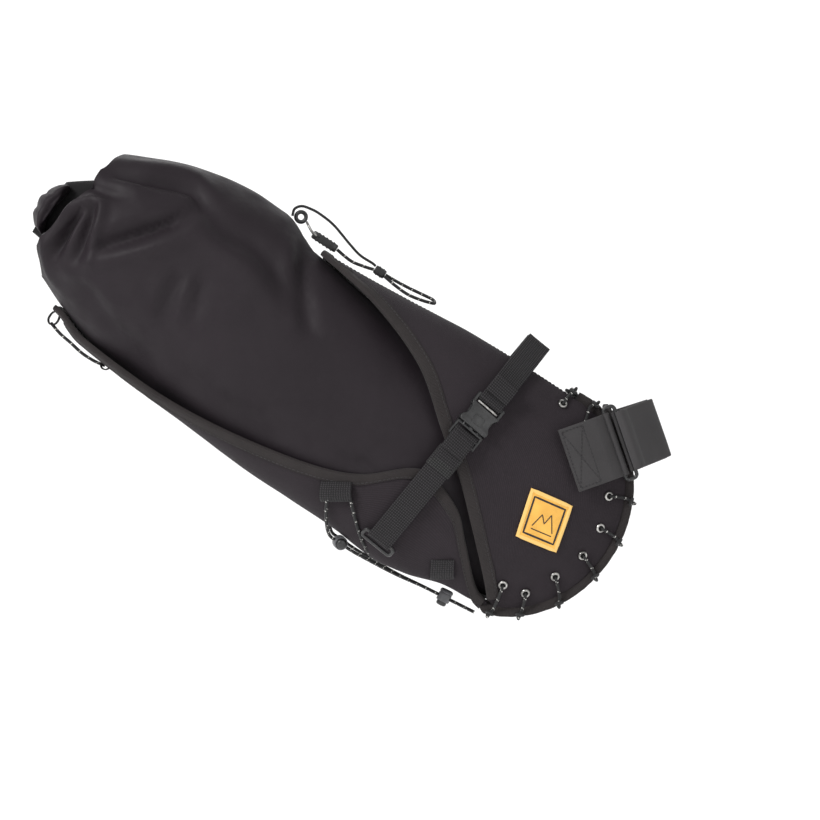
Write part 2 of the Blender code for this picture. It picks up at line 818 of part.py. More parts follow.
def lower_strap(name, side, place, paint):
    """Webbing from the cradle's ring up to the male buckle, with its tail folded back under."""
    eye = BAR_RADIUS + GAP + WEBBING_THICKNESS / 2
    lift = 2.8 + WEBBING_THICKNESS / 2
    outer_lift = lift + WEBBING_THICKNESS + GAP
    ring = LOWER_RING
    turn = RING_WIRE / 2 + GAP + WEBBING_THICKNESS / 2
    bend = [(ring[0] + turn * cos(radians(a)), ring[1] + turn * sin(radians(a)))
            for a in range(-60, -241, -30)]
    tail_under = surface(-150, -162, lift, 2)
    outer = taut(bend[-1:] + surface(-165, -100, outer_lift, 8)
                 + [to_wy(place @ Vector((-2, 0, 2.6)), side)]
                 + bar_turn(place, MALE_BAR, eye, 90, 90, 1, side)[:1])
    bar = bar_turn(place, MALE_BAR, eye, 60, -90, 5, side)
    under = surface(-100, -110, lift, 2)
    route = tail_under + bend + outer[1:] + bar + under
    path = [strap_at(p, side) for p in route]
    return ribbon(name, path, strap_across(side), WEBBING_WIDTH, WEBBING_THICKNESS, paint)


LOWER_RING = (-176, 64.5)


def wire_rectangle(name, centre, long_way, short_way, length, breadth, radius, paint):
    corner = 2.2
    loop = []
    for start, a, b in ((0, 1, 1), (90, -1, 1), (180, -1, -1), (270, 1, -1)):
        for i in range(4):
            angle = radians(start + 30 * i)
            loop.append(centre + long_way * (a * (length / 2 - corner) + corner * cos(angle))
                        + short_way * (b * (breadth / 2 - corner) + corner * sin(angle)))
    return tube(name, loop, radius, paint, closed=True)


def buckle_male(name, place, paint):
    """Ladder end, centre guide and two pinch arms of the side-release buckle."""
    builder = bmesh.new()
    box(builder, (12, 24, 2.0), (5, 0, 0), place)
    made = finish_mesh(name, builder, paint)
    for index, (size, centre) in enumerate(MALE_PIECES):
        extra = bmesh.new()
        box(extra, size, centre, place)
        combine(made, cutter(f"{name}_add_{index}", extra), "UNION")
    for index, x in enumerate((2.2, 7.8)):
        slot = bmesh.new()
        box(slot, (3.6, 20.8, 8), (x, 0, 0), place)
        combine(made, cutter(f"{name}_slot_{index}", slot), "DIFFERENCE")
    return made


MALE_PIECES = [((17, 3, 2.6), (19, 0, 0)), ((14, 2.6, 3.0), (17.5, 7.4, 0)),
               ((14, 2.6, 3.0), (17.5, -7.4, 0)), ((6, 4.2, 3.4), (23, 8.1, 0)),
               ((6, 4.2, 3.4), (23, -8.1, 0))]


def buckle_female(name, place, paint):
    """Shell of the side-release buckle, open towards the male part, with a bar for the loop."""
    builder = bmesh.new()
    box(builder, (18.5, 26, 8), (12 + 18.5 / 2, 0, 0), place)
    made = finish_mesh(name, builder, paint)
    steps = [("UNION", (9.7, 25, 2.0), (32.85, 0, 0)), ("DIFFERENCE", (17.5, 21.2, 4.4), (19.5, 0, 0)),
             ("DIFFERENCE", (5.9, 20.8, 10), (32.75, 0, 0)),
             ("DIFFERENCE", (9, 30, 4.0), (21.5, 0, 0)),
             ("DIFFERENCE", (4, 12, 10), (11, 0, 0))]
    for index, (operation, size, centre) in enumerate(steps):
        extra = bmesh.new()
        box(extra, size, centre, place)
        combine(made, cutter(f"{name}_step_{index}", extra), operation)
    return made


def rail_straps(paints):
    for word, side in SIDES.items():
        place = buckle_frame(side)
        buckle_male(f"buckle_male_{word}", place, paints["plastic"])
        buckle_female(f"buckle_female_{word}", place, paints["plastic"])
        upper_strap(f"upper_strap_{word}", side, place, paints["webbing"])
        lower_strap(f"lower_strap_{word}", side, place, paints["webbing"])
        centre = strap_at(LOWER_RING, side)
        inward = (strap_at((-184, 57), side) - centre).normalized()
        wire_rectangle(f"lower_ring_{word}", centre + inward * 3.6, strap_across(side), inward,
                       WEBBING_WIDTH + 7, 7.2 + 0.4, RING_WIRE / 2, paints["plastic"])


# ---------------------------------------------------------------- hook and cords on top

HOOK_PIVOT = (295, -6.5)
CORD_RADIUS = 1.25


def hook(paints):
    """Ribbed grip with a wire bail that catches the ring on the dry bag."""
    builder = bmesh.new()
    grip = frame(at(287, -6.5, 0), TAIL, ACROSS, TAIL.cross(ACROSS))
    box(builder, (22, 9, 7), (0, 0, 0), grip)
    bmesh.ops.bevel(builder, geom=list(builder.edges), offset=1.2, segments=2, affect="EDGES")
    made = finish_mesh("hook_body", builder, paints["plastic"])
    for i in range(5):
        groove = bmesh.new()
        box(groove, (1.2, 12, 1.4), (-7 + 3.5 * i, 0, -3.5), grip)
        box(groove, (1.2, 12, 1.4), (-7 + 3.5 * i, 0, 3.5), grip)
        combine(made, cutter(f"hook_groove_{i}", groove), "DIFFERENCE")
    u, w = HOOK_PIVOT
    half = 5.6
    bail = [at(u, w, -half), at(u + 4, w + 0.8, -half), at(u + 8.5, w + 3, -4.5),
            at(u + 11, w + 4.5, -2.2), at(u + 11.6, w + 5, 0), at(u + 11, w + 4.5, 2.2),
            at(u + 8.5, w + 3, 4.5), at(u + 4, w + 0.8, half), at(u, w, half)]
    tube("hook_bail", spline(bail, 25), 0.8, paints["nickel"])
    ring = [at(313 + 4 * cos(2 * pi * i / 16), -0.5 + 4 * sin(2 * pi * i / 16), 0) for i in range(16)]
    tube("bag_ring", ring, 1.0, paints["plastic"], closed=True)


def cord_slider(paint):
    builder = bmesh.new()
    place = frame(at(238, -3, 0), TAIL, ACROSS, TAIL.cross(ACROSS))
    box(builder, (9, 10, 7), (0, 0, 0), place)
    bmesh.ops.bevel(builder, geom=list(builder.edges), offset=1.0, segments=2, affect="EDGES")
    finish_mesh("cord_slider", builder, paint)


# Routes of the free cords, as (u, w, y)
TOP_CORD = [(275.6, -6.5, 0), (268, -7.6, 0.5), (260, -8, 0), (250, -6, -0.8), (242.9, -4, -1)]
PULL_LOOP = [(233.1, -4, -2.4), (222, -5.5, -4), (210, -6, -6), (199, -4, -7), (191, -1.5, -5),
             (189, 0, 0), (192, 1.5, 5), (201, 0.5, 6.5), (212, -1, 5), (223, -2, 3.5), (233.1, -2.5, 2.4)]
TAIL_CORD = [(431.5, -176, 0), (421, -179, -2), (410, -180.5, -4), (398, -182.5, -3),
             (387, -182.5, -1), (378, -181, 0)]
UNDER_CORD_HALF = [(32, -185.4, -1.6), (43, -186.6, -1.6), (58, -188.3, -1.6), (77, -190.4, -1.6),
                   (100, -193.6, -12), (126, -195.4, -29), (139, -196, -35.2), (149, -195.5, -38),
                   (159, -195, -40.8), (167, -187, -54), (175, -173.5, -65.5), (177, -164, -70.5),
                   (172, -159.6, -72.5), (164, -160, -72), (157, -166, -69.5), (147, -175.5, -61.5),
                   (136, -184.5, -52.5), (124, -191, -38), (114, -191.4, -18)]
RETAINER = [(309, 8.5, -2), (302, 10, -2), (288, 8, -2), (270, 2.5, -2), (258, -0.5, -2), (247, -0.5, -2),
            (243.2, -1, -2)]


def mirrored(half, middle):
    """A route that crosses the bag: half of it, a middle point, and the same half on the left."""
    return half + [middle] + [(u, w, -y) for u, w, y in half[::-1]]


def route_points(route, count):
    return spline([at(*spot) for spot in route], count)


def free_cords(paints):
    tube("top_cord", route_points(TOP_CORD, 17), CORD_RADIUS, paints["cord"])
    tube("pull_loop", route_points(PULL_LOOP, 41), CORD_RADIUS, paints["cord"])
    tube("tail_cord", route_points(TAIL_CORD, 21), CORD_RADIUS, paints["cord"])
    under = mirrored(UNDER_CORD_HALF, (111, -191.4, 0))
    tube("under_cord", route_points(under, 79), CORD_RADIUS, paints["cord"])
    path = route_points(RETAINER, 16)
    ribbon("retainer_strap", path, ACROSS, 4, 1.0, paints["webbing"])


# ---------------------------------------------------------------- cord locks

LOCK_RADIUS = 5.2
LOCK_BORE = 4.3
LOCK_BUTTON = 4.0
LOCK_TRAVEL = 2.4


def cord_lock(name, place, span, paints):
    """Barrel and push button. Local z is the push axis, and the cord runs along local x."""
    hole = 2 * CORD_RADIUS + 1.0
    builder = bmesh.new()
    cylinder(builder, LOCK_RADIUS, 10, place)
    body = finish_mesh(f"{name}_body", builder, paints["grey_plastic"])
    bore = bmesh.new()
    cylinder(bore, LOCK_BORE, 10, place @ Matrix.Translation((0, 0, 1.4)))
    combine(body, cutter(f"{name}_bore", bore), "DIFFERENCE")
    tunnel = bmesh.new()
    box(tunnel, (20, span + hole, hole), (0, 0, 1.2), place)
    combine(body, cutter(f"{name}_tunnel", tunnel), "DIFFERENCE")
    push = bmesh.new()
    cylinder(push, LOCK_BUTTON, 9.2, place @ Matrix.Translation((0, 0, 3.4)))
    button = finish_mesh(f"{name}_button", push, paints["plastic"])
    slot = bmesh.new()
    box(slot, (20, span + hole, hole + LOCK_TRAVEL), (0, 0, 1.2 + LOCK_TRAVEL / 2), place)
    combine(button, cutter(f"{name}_slot", slot), "DIFFERENCE")


def cord_locks(paints):
    rear_way = (at(159, -195, -40.8) - at(139, -196, -35.2)).normalized()
    rear_push = (-ACROSS + rear_way * rear_way.y).normalized()
    rear = frame(at(149, -195.5, -38) - rear_push * 1.2, rear_way, rear_push.cross(rear_way), rear_push)
    cord_lock("rear_cord_lock", rear, 0, paints)
    front_way = (at(77, -190.4, 0) - at(43, -186.6, 0)).normalized()
    front_push = front_way.cross(ACROSS)
    if front_push.dot(UP) > 0:
        front_push = -front_push
    front = frame(at(58, -188.3, 0) - front_push * 1.2, front_way, front_push.cross(front_way), front_push)
    cord_lock("front_cord_lock", front, 3.2, paints)


def clear_scene():
    for old in list(bpy.data.objects):
        bpy.data.objects.remove(old, do_unlink=True)


def main():
    clear_scene()
    paints = make_materials()
    holster(paints)
    dry_bag(paints)
    roll_closure(paints)
    trim(paints)
    grip_pad(paints["rubber"])
    post_strap(paints)
    rail_straps(paints)
    hook(paints)
    cord_slider(paints["plastic"])
    free_cords(paints)
    cord_locks(paints)


main()
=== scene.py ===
"""Looks for a laced saddle bag with a roll-top dry bag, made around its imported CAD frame.

Shapes are worked out in millimetres and stored in metres. Places on the bag are (u, w, y): u runs
along the bag towards its tail, w rises out of its top, and y crosses it. The bag's right side, which
the camera sees, is at -y.
"""

from math import atan2, cos, hypot, pi, radians, sin, sqrt

import bmesh
import bpy
import numpy as np
from mathutils import Matrix, Vector, noise
from numpy.linalg import norm


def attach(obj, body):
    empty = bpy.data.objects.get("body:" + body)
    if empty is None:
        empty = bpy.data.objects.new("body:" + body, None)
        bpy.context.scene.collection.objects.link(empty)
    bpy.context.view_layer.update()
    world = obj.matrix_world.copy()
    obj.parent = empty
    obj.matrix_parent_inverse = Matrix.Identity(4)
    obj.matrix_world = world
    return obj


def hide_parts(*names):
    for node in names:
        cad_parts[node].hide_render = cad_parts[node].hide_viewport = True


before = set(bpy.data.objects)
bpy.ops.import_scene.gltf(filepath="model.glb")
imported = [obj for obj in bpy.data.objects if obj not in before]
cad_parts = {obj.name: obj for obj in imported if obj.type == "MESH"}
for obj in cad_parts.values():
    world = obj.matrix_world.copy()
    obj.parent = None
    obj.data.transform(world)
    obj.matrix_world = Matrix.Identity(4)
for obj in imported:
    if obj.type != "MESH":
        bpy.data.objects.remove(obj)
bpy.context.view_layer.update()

MM = 0.001
GAP = 0.3
SIDES = {"right": -1, "left": 1}

# Attitude on the bicycle
BAG_TILT = radians(33)
POST_TILT = radians(19)
POST_RADIUS = 13.6
TAIL = Vector((-cos(BAG_TILT), 0, sin(BAG_TILT)))
UP = Vector((sin(BAG_TILT), 0, cos(BAG_TILT)))
ACROSS = Vector((0, 1, 0))
POST_FRONT = Vector((cos(POST_TILT), 0, sin(POST_TILT)))
POST_UP = Vector((-sin(POST_TILT), 0, cos(POST_TILT)))

# Shell of the holster
NOSE_U = 49
NOSE_W = -91
NOSE_LENGTH = 75
NOSE_HEIGHT = 87
NOSE_BOTTOM = radians(-70)
RIM_BOTTOM = radians(-80)
GUSSET_BOTTOM = radians(-85)
MOUTH_U = 283
CRADLE_START = 29
CRADLE_END = 430
TONGUE_START = 335
PANEL_THICKNESS = 2.6
FLANGE = 6
BINDING_WIDTH = 8.5
STITCH_INSET = 1.7
MOUTH_EDGE = [(30, -170), (42, -157), (70, -130), (99, -103), (131, -79), (173, -46.5), (229, -24.5),
              (282, -15)]
CRADLE_EDGE = [(29, -173.6), (44, -168), (69, -143.5), (88, -125.5), (118, -114.5), (136, -119),
               (164, -143), (200, -158), (262, -171), (320, -177), (380, -175.5), (430, -170.6)]
EYELETS = [(64, -13), (41, -20), (-4, -53), (-12, -77), (-12, -102), (-3, -127), (9, -150),
           (27, -154)]
CORD_RADIUS = 1.25


# ---------------------------------------------------------------- geometry

def smooth(x):
    x = min(max(x, 0.0), 1.0)
    return x * x * (3 - 2 * x)


def ease(start, end, x):
    return start + (end - start) * smooth(x)


def at(u, w, y=0.0):
    """A place on the bag, as a point in millimetres."""
    return TAIL * u + UP * w + ACROSS * y


def at_post(forward, up, y):
    """A place beside the seatpost, measured from its axis."""
    return POST_FRONT * forward + POST_UP * up + ACROSS * y


def spline(points, count):
    """A smooth curve through the points."""
    points = [Vector(p).to_3d() for p in points]
    ends = [points[0] * 2 - points[1]] + points + [points[-1] * 2 - points[-2]]
    curve = []
    for i in range(count):
        place = i / (count - 1) * (len(points) - 1)
        k = min(int(place), len(points) - 2)
        t = place - k
        a, b, c, d = ends[k:k + 4]
        curve.append(0.5 * (2 * b + (c - a) * t + (2 * a - 5 * b + 4 * c - d) * t * t
                            + (3 * b - a - 3 * c + d) * t ** 3))
    return curve


def running(steps):
    """The way gone before each step and after the last."""
    return np.concatenate([[0], np.cumsum(steps)])


def even(points, count):
    """The same line with its points evenly spaced."""
    line = np.array([tuple(p) for p in points])
    travel = running(norm(np.diff(line, axis=0), axis=1))
    wanted = np.linspace(0, travel[-1], count)
    return [Vector(p) for p in zip(*(np.interp(wanted, travel, column) for column in line.T))]


def height_on(points, u):
    """The height w at u on a smooth curve through (u, w) points."""
    curve = spline(points, 12 * len(points))
    for a, b in zip(curve, curve[1:]):
        if a.x <= u <= b.x:
            return a.y + (b.y - a.y) * (u - a.x) / (b.x - a.x)
    return curve[0].y if u < curve[0].x else curve[-1].y


def over(table, x):
    """The value at x of a broken line through (x, value) points."""
    return np.interp(x, [a for a, _ in table], [b for _, b in table])


def ways(points, closed=False):
    """Unit directions along a line of points."""
    count = len(points)
    found = []
    for i in range(count):
        after = points[(i + 1) % count] if closed else points[min(i + 1, count - 1)]
        before = points[i - 1] if closed or i else points[0]
        found.append((after - before).normalized())
    return found


def turned_to(direction, guide):
    """The direction, or its opposite where that lies nearer to the guide."""
    return -direction if direction.dot(guide) < 0 else direction


def arc(centre, radius, start, end, steps):
    """Points round a centre in a plane, angles in degrees from its first axis towards its second."""
    points = []
    for i in range(steps + 1):
        angle = radians(start + (end - start) * i / steps)
        points.append((centre[0] + radius * cos(angle), centre[1] + radius * sin(angle)))
    return points


def round_box(length, height, corner):
    """Points round a rectangle with round corners, by its half length and half height."""
    points = []
    for quarter, a, b in ((0, 1, 1), (1, -1, 1), (2, -1, -1), (3, 1, -1)):
        centre = (a * (length - corner), b * (height - corner))
        points += arc(centre, corner, 90 * quarter, 90 * quarter + 90, 6)
    return points


def frame_at(origin, x_axis, y_axis, z_axis):
    place = Matrix((x_axis, y_axis, z_axis)).transposed().to_4x4()
    place.translation = origin
    return place


def wave(point, size, seed=0.0):
    """Smooth unevenness from -1 to 1 with features of about this size in millimetres."""
    return noise.noise(Vector(point) / size + Vector((seed, 3.1 * seed, 7.7)))


# ---------------------------------------------------------------- mesh makers

def loft(rings, closed=False):
    """Points, faces and cloth coordinates of a skin over rings of points. Ends are closed by strips."""
    rows = len(rings)
    count = len(rings[0])
    grid = np.array([[tuple(p) for p in ring] for ring in rings])
    around = running(norm(np.diff(grid, axis=1, append=grid[:, :1]), axis=2).mean(axis=0))
    along = running(norm(np.diff(grid, axis=0, append=grid[:1]), axis=2).mean(axis=1))
    faces = []
    coords = []
    for r in range(rows if closed else rows - 1):
        for c in range(count):
            corners = ((r, c), (r, c + 1), (r + 1, c + 1), (r + 1, c))
            faces.append(tuple(i % rows * count + j % count for i, j in corners))
            coords += [(along[i], around[j]) for i, j in corners]
    if not closed:
        for r in (0, rows - 1):
            for i in range(count // 2 - 1):
                corners = (i, i + 1, count - 2 - i, count - 1 - i)
                faces.append(tuple(r * count + k for k in corners))
                coords += [(along[r], around[k]) for k in corners]
    return grid.reshape(-1, 3), faces, coords


def slab(front, back):
    """A solid between two matching grids of points."""
    return loft([list(a) + list(b)[::-1] for a, b in zip(front, back)])


def build(name, shapes, paint, stands_for=(), body="holster", slot=None, sharp=40):
    """One piece from one or more shapes, riding on a body. Its slot is worked out from its finish unless
    given, but is not kept.
    """
    points = []
    faces = []
    coords = []
    start = 0
    for some, corners, places in shapes if isinstance(shapes, list) else [shapes]:
        points.append(some)
        faces += [tuple(start + k for k in face) for face in corners]
        coords += places
        start += len(some)
    mesh = bpy.data.meshes.new(name)
    mesh.from_pydata((np.concatenate(points) * MM).tolist(), [], faces)
    cloth = mesh.uv_layers.new(name="Cloth")
    cloth.data.foreach_set("uv", (np.array(coords) * MM).ravel())
    builder = bmesh.new()
    builder.from_mesh(mesh)
    bmesh.ops.recalc_face_normals(builder, faces=builder.faces)
    builder.to_mesh(mesh)
    builder.free()
    mesh.shade_smooth()
    mesh.set_sharp_from_angle(angle=radians(sharp))
    mesh.materials.append(FINISHES[paint])
    made = bpy.data.objects.new(name, mesh)
    bpy.context.collection.objects.link(made)
    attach(made, body)
    slot = slot or SLOTS.get(paint, paint)
    if stands_for:
        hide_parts(*stands_for)
    return made


def band(width, thickness, columns=8):
    """Outline of a woven band with rounded edges, as (across, outward) pairs."""
    rim = thickness / 2
    inner = width / 2 - rim
    xs = [-width / 2, -width / 2 + 0.3 * rim] + [-inner + 2 * inner * i / columns for i in range(columns + 1)]
    front = []
    for x in xs + [width / 2 - 0.3 * rim, width / 2]:
        edge = max(0.0, abs(x) - inner) / rim
        front.append((x, rim * sqrt(max(0.03, 1 - edge * edge))))
    return front + [(x, -z) for x, z in front[::-1]]


def sweep(path, across, section, closed=False):
    """Carry a section along a path, facing one direction across it or a list of them."""
    rings = []
    for i, (point, way) in enumerate(zip(path, ways(path, closed))):
        side = across[i] if isinstance(across, list) else across
        side = (side - way * side.dot(way)).normalized()
        out = way.cross(side)
        rings.append([point + side * a + out * b for a, b in section])
    return loft(rings, closed)


def tube(points, radius, closed=False, ends=True):
    """A round cord or wire, with rounded ends where it is open."""
    sides = 12
    directions = ways(points, closed)
    side = directions[0].orthogonal().normalized()
    rings = []
    for point, way in zip(points, directions):
        side = (side - way * side.dot(way)).normalized()
        other = way.cross(side)
        turns = [2 * pi * (k + 0.5) / sides for k in range(sides)]
        rings.append([point + (side * cos(turn) + other * sin(turn)) * radius for turn in turns])

    def dome(place, way, ring):
        size = (ring[0] - place).length
        return [[place + (p - place) * share + way * size * push for p in ring]
                for share, push in ((0.75, 0.55), (0.3, 0.85))]

    if ends and not closed:
        first = dome(points[0], -directions[0], rings[0])
        rings = first[::-1] + rings + dome(points[-1], directions[-1], rings[-1])
    return loft(rings, closed)


def turned(place, profile, sides=28):
    """A shape turned round the local z axis, from (radius, z) pairs that close on themselves."""
    rings = []
    for i in range(sides):
        angle = 2 * pi * i / sides
        rings.append([place @ Vector((r * cos(angle), r * sin(angle), z)) for r, z in profile])
    return loft(rings, closed=True)


def moulded(place, profile, low, high, edge=0.6):
    """A moulded block with rounded edges. Profile is (x, half width) pairs along local x."""
    first = profile[0][0]
    last = profile[-1][0]
    rings = []
    for inset, z in ((edge, low), (edge * 0.3, low + edge * 0.3), (0, low + edge), (0, high - edge),
                     (edge * 0.3, high - edge * 0.3), (edge, high)):
        pairs = [(min(max(x, first + inset), last - inset), max(half - inset, 0.05)) for x, half in profile]
        pairs += [(x, -half) for x, half in pairs[::-1]]
        rings.append([place @ Vector((x, y, z)) for x, y in pairs])
    return loft(rings)


def block(place, size, centre, edge=0.5):
    """A small moulded block by its size and centre."""
    length, breadth, height = size
    steps = [(-length / 2 + length * i / 4, breadth / 2) for i in range(5)]
    return moulded(place @ Matrix.Translation(centre), steps, -height / 2, height / 2, edge)


def stitched(runs, pitch=3.4, length=2.5, radius=0.32):
    """Stitches lying along runs, each a list of (point, outward) places."""
    made = []
    for run in runs:
        line = np.array([tuple(p) for p, _ in run])
        out = np.array([tuple(n) for _, n in run])
        travel = running(norm(np.diff(line, axis=0), axis=1))
        number = max(1, int(travel[-1] / pitch))

        def along(values, spot):
            return Vector([np.interp(spot, travel, column) for column in values.T])

        for i in range(number):
            middle = travel[-1] * (i + 0.5) / number
            rings = []
            for shift, share, sink in ((-0.5, 0.35, -0.5), (-0.36, 0.9, 0.1), (0, 1.0, 0.35),
                                       (0.36, 0.9, 0.1), (0.5, 0.35, -0.5)):
                spot = middle + shift * length
                point = along(line, spot)
                normal = along(out, spot).normalized()
                side = (along(line, spot + 0.5) - along(line, spot - 0.5)).cross(normal).normalized()
                thick = radius * share
                rings.append([point + normal * (radius * sink + thick * sin(a)) + side * thick * cos(a)
                              for a in (0.5, 1.57, 2.64, 3.67, 4.71, 5.75)])
            made.append(loft(rings))
    return made


# ---------------------------------------------------------------- finishes

FINISHES = {}
SLOTS = {"painted_shade_cloth": "panel_fabric", "elastic_tape": "webbing", "grip_rubber": "rubberised_strap",
         "label_edge": "amber_label", "thread": "binding_tape"}


class Finish:
    """A material under construction: a shader and nodes that feed it."""

    def __init__(self, name, colour, roughness, metallic=0.0, sheen=0.0, specular=0.5):
        self.made = bpy.data.materials.new(name)
        self.made.use_nodes = True
        self.tree = self.made.node_tree
        self.shader = self.tree.nodes["Principled BSDF"]
        self.colour = colour
        looks = {"Base Color": (*colour, 1), "Roughness": roughness, "Metallic": metallic,
                 "Sheen Weight": sheen, "Sheen Roughness": 0.45, "Specular IOR Level": specular}
        for socket, value in looks.items():
            self.shader.inputs[socket].default_value = value
        self.made.diffuse_color = (*colour, 1)
        self.relief = None
        FINISHES[name] = self.made

    def add(self, kind, inputs=(), **settings):
        made = self.tree.nodes.new("ShaderNode" + kind)
        for key, value in settings.items():
            setattr(made, key, value)
        for socket, value in dict(inputs).items():
            if isinstance(value, bpy.types.NodeSocket):
                self.tree.links.new(value, made.inputs[socket])
            else:
                made.inputs[socket].default_value = value
        return made

    def maths(self, operation, a, b=0.0):
        return self.add("Math", {0: a, 1: b}, operation=operation).outputs[0]

    def times(self, a, b):
        return self.maths("MULTIPLY", a, b)

    def cloth(self):
        """The cloth's own coordinates in millimetres: along, and across."""
        parts = self.add("SeparateXYZ", {0: self.add("UVMap", uv_map="Cloth").outputs[0]})
        return self.times(parts.outputs[0], 1000), self.times(parts.outputs[1], 1000)

    def ripple(self, line, period):
        """Rounded ridges, from 0 to 1, along a coordinate."""
        return self.maths("ABSOLUTE", self.maths("SINE", self.times(line, pi / period)))

    def weave(self, long, wide):
        """Yarns in rows across the cloth, by their pitch along and across it in millimetres."""
        along, across = self.cloth()
        return self.times(self.ripple(along, long), self.ripple(across, wide))

    def texture(self, kind, scale, **inputs):
        """A solid texture, with scale in features for each metre."""
        place = self.add("TexCoord").outputs["Object"]
        return self.add(kind, {"Vector": place, "Scale": scale, **inputs}).outputs[0]

    def blotches(self, scale, detail=3.0, low=0.35, high=0.65):
        """Soft irregular patches from 0 to 1."""
        cloud = self.texture("TexNoise", scale, Detail=detail)
        return self.add("MapRange", {0: cloud, 1: low, 2: high, 3: 0.0, 4: 1.0}).outputs[0]

    def shade(self, factor, other):
        """Blend the base colour, by a factor from 0 to 1, towards a colour or a multiple of itself."""
        if not isinstance(other, tuple):
            other = tuple(c * other for c in self.colour)
        source = self.shader.inputs["Base Color"]
        mix = self.add("Mix", {0: factor, 7: (*other, 1)}, data_type="RGBA")
        if source.is_linked:
            self.tree.links.new(source.links[0].from_socket, mix.inputs[6])
        else:
            mix.inputs[6].default_value = source.default_value
        self.tree.links.new(mix.outputs[2], source)

    def polish(self, factor, low, high):
        """Let roughness run from low to high with a factor."""
        spread = self.add("MapRange", {0: factor, 1: 0.0, 2: 1.0, 3: low, 4: high})
        self.tree.links.new(spread.outputs[0], self.shader.inputs["Roughness"])

    def emboss(self, height, strength, distance):
        """Raise the surface by a height from 0 to 1; distance is in metres."""
        bump = self.add("Bump", {"Height": height, "Strength": strength, "Distance": distance})
        if self.relief:
            self.tree.links.new(self.relief, bump.inputs["Normal"])
        self.relief = bump.outputs[0]
        self.tree.links.new(self.relief, self.shader.inputs["Normal"])


def make_fabrics():
    nylon = Finish("coated_nylon", (0.0148, 0.0114, 0.0139), 0.6, sheen=0.01, specular=0.15)
    yarn = nylon.weave(0.55, 0.55)
    nylon.shade(nylon.blotches(16, 4), 0.78)
    nylon.shade(nylon.times(yarn, 0.5), 1.5)
    nylon.polish(nylon.blotches(60, 5), 0.50, 0.66)
    nylon.emboss(nylon.blotches(38, 6, 0.2, 0.8), 0.35, 0.0016)
    nylon.emboss(yarn, 0.22, 0.00012)

    # The near-black second colour is painted shade, used on pieces that stand in for dark recesses and gaps.
    panels = {"panel_fabric": (0.0165, 0.0130, 0.0155), "painted_shade_cloth": (0.006, 0.0055, 0.006)}
    for name, colour in panels.items():
        panel = Finish(name, colour, 0.8, sheen=0.03, specular=0.17)
        yarn = panel.weave(0.9, 0.9)
        slub = panel.texture("TexNoise", 900.0, Detail=3.0)
        panel.shade(panel.blotches(22, 4), 0.8)
        panel.shade(panel.times(yarn, slub), 2.3)
        panel.emboss(panel.blotches(30, 4, 0.2, 0.8), 0.3, 0.0012)
        panel.emboss(yarn, 0.5, 0.0002)
        panel.emboss(slub, 0.3, 0.0002)

    tape = Finish("binding_tape", (0.0200, 0.0170, 0.0170), 0.85, sheen=0.05, specular=0.2)
    rib = tape.ripple(tape.cloth()[0], 1.1)
    fuzz = tape.texture("TexNoise", 1400.0, Detail=2.0)
    tape.shade(tape.blotches(45, 4), 0.66)
    tape.shade(tape.times(rib, fuzz), 1.9)
    tape.emboss(rib, 0.7, 0.00035)
    tape.emboss(fuzz, 0.3, 0.0002)

    for name, colour in (("webbing", (0.0075, 0.0070, 0.0075)), ("elastic_tape", (0.009, 0.009, 0.009))):
        strap = Finish(name, colour, 0.7, sheen=0.02, specular=0.18)
        yarn = strap.weave(1.9, 1.7)
        strap.shade(strap.blotches(40, 3), 0.75)
        # The yarn crests are painted much lighter: the weave's pattern and a painted highlight on its ribs.
        strap.shade(yarn, 5.0)
        strap.emboss(yarn, 0.9, 0.0006)

    label = Finish("amber_label", (0.80, 0.43, 0.075), 0.62, sheen=0.15, specular=0.3)
    yarn = label.weave(0.5, 0.7)
    label.shade(label.blotches(70, 4), (0.66, 0.33, 0.05))
    label.shade(label.times(yarn, 0.45), (0.93, 0.60, 0.16))
    label.emboss(yarn, 0.5, 0.00015)

    edge = Finish("label_edge", (0.86, 0.58, 0.20), 0.6, sheen=0.15, specular=0.3)
    rib = edge.ripple(edge.cloth()[0], 0.8)
    edge.shade(rib, (0.72, 0.44, 0.12))
    edge.emboss(rib, 0.5, 0.0002)


def make_cords():
    thread = Finish("thread", (0.012, 0.011, 0.012), 0.55, sheen=0.05, specular=0.3)
    twist = thread.ripple(thread.maths("ADD", *thread.cloth()), 0.35)
    thread.shade(twist, 2.0)
    thread.emboss(twist, 0.5, 0.0001)

    cord = Finish("flecked_cord", (0.010, 0.010, 0.0105), 0.6, sheen=0.03, specular=0.3)
    along, across = cord.cloth()
    rise = cord.maths("DIVIDE", along, 2.6)
    turn = cord.maths("DIVIDE", across, 2 * pi * CORD_RADIUS)
    one = cord.maths("ADD", rise, turn)
    two = cord.maths("SUBTRACT", rise, turn)
    braid = cord.times(cord.ripple(one, 0.25), cord.ripple(two, 0.25))
    tracer = cord.maths("LESS_THAN", cord.maths("FRACT", cord.times(one, 0.31)), 0.1)
    over_one = cord.maths("LESS_THAN", cord.maths("FRACT", cord.times(two, 1.5)), 0.6)
    cord.shade(cord.times(braid, 0.5), (0.045, 0.045, 0.045))
    cord.shade(cord.times(tracer, over_one), (0.62, 0.61, 0.58))
    cord.emboss(braid, 0.8, 0.0003)


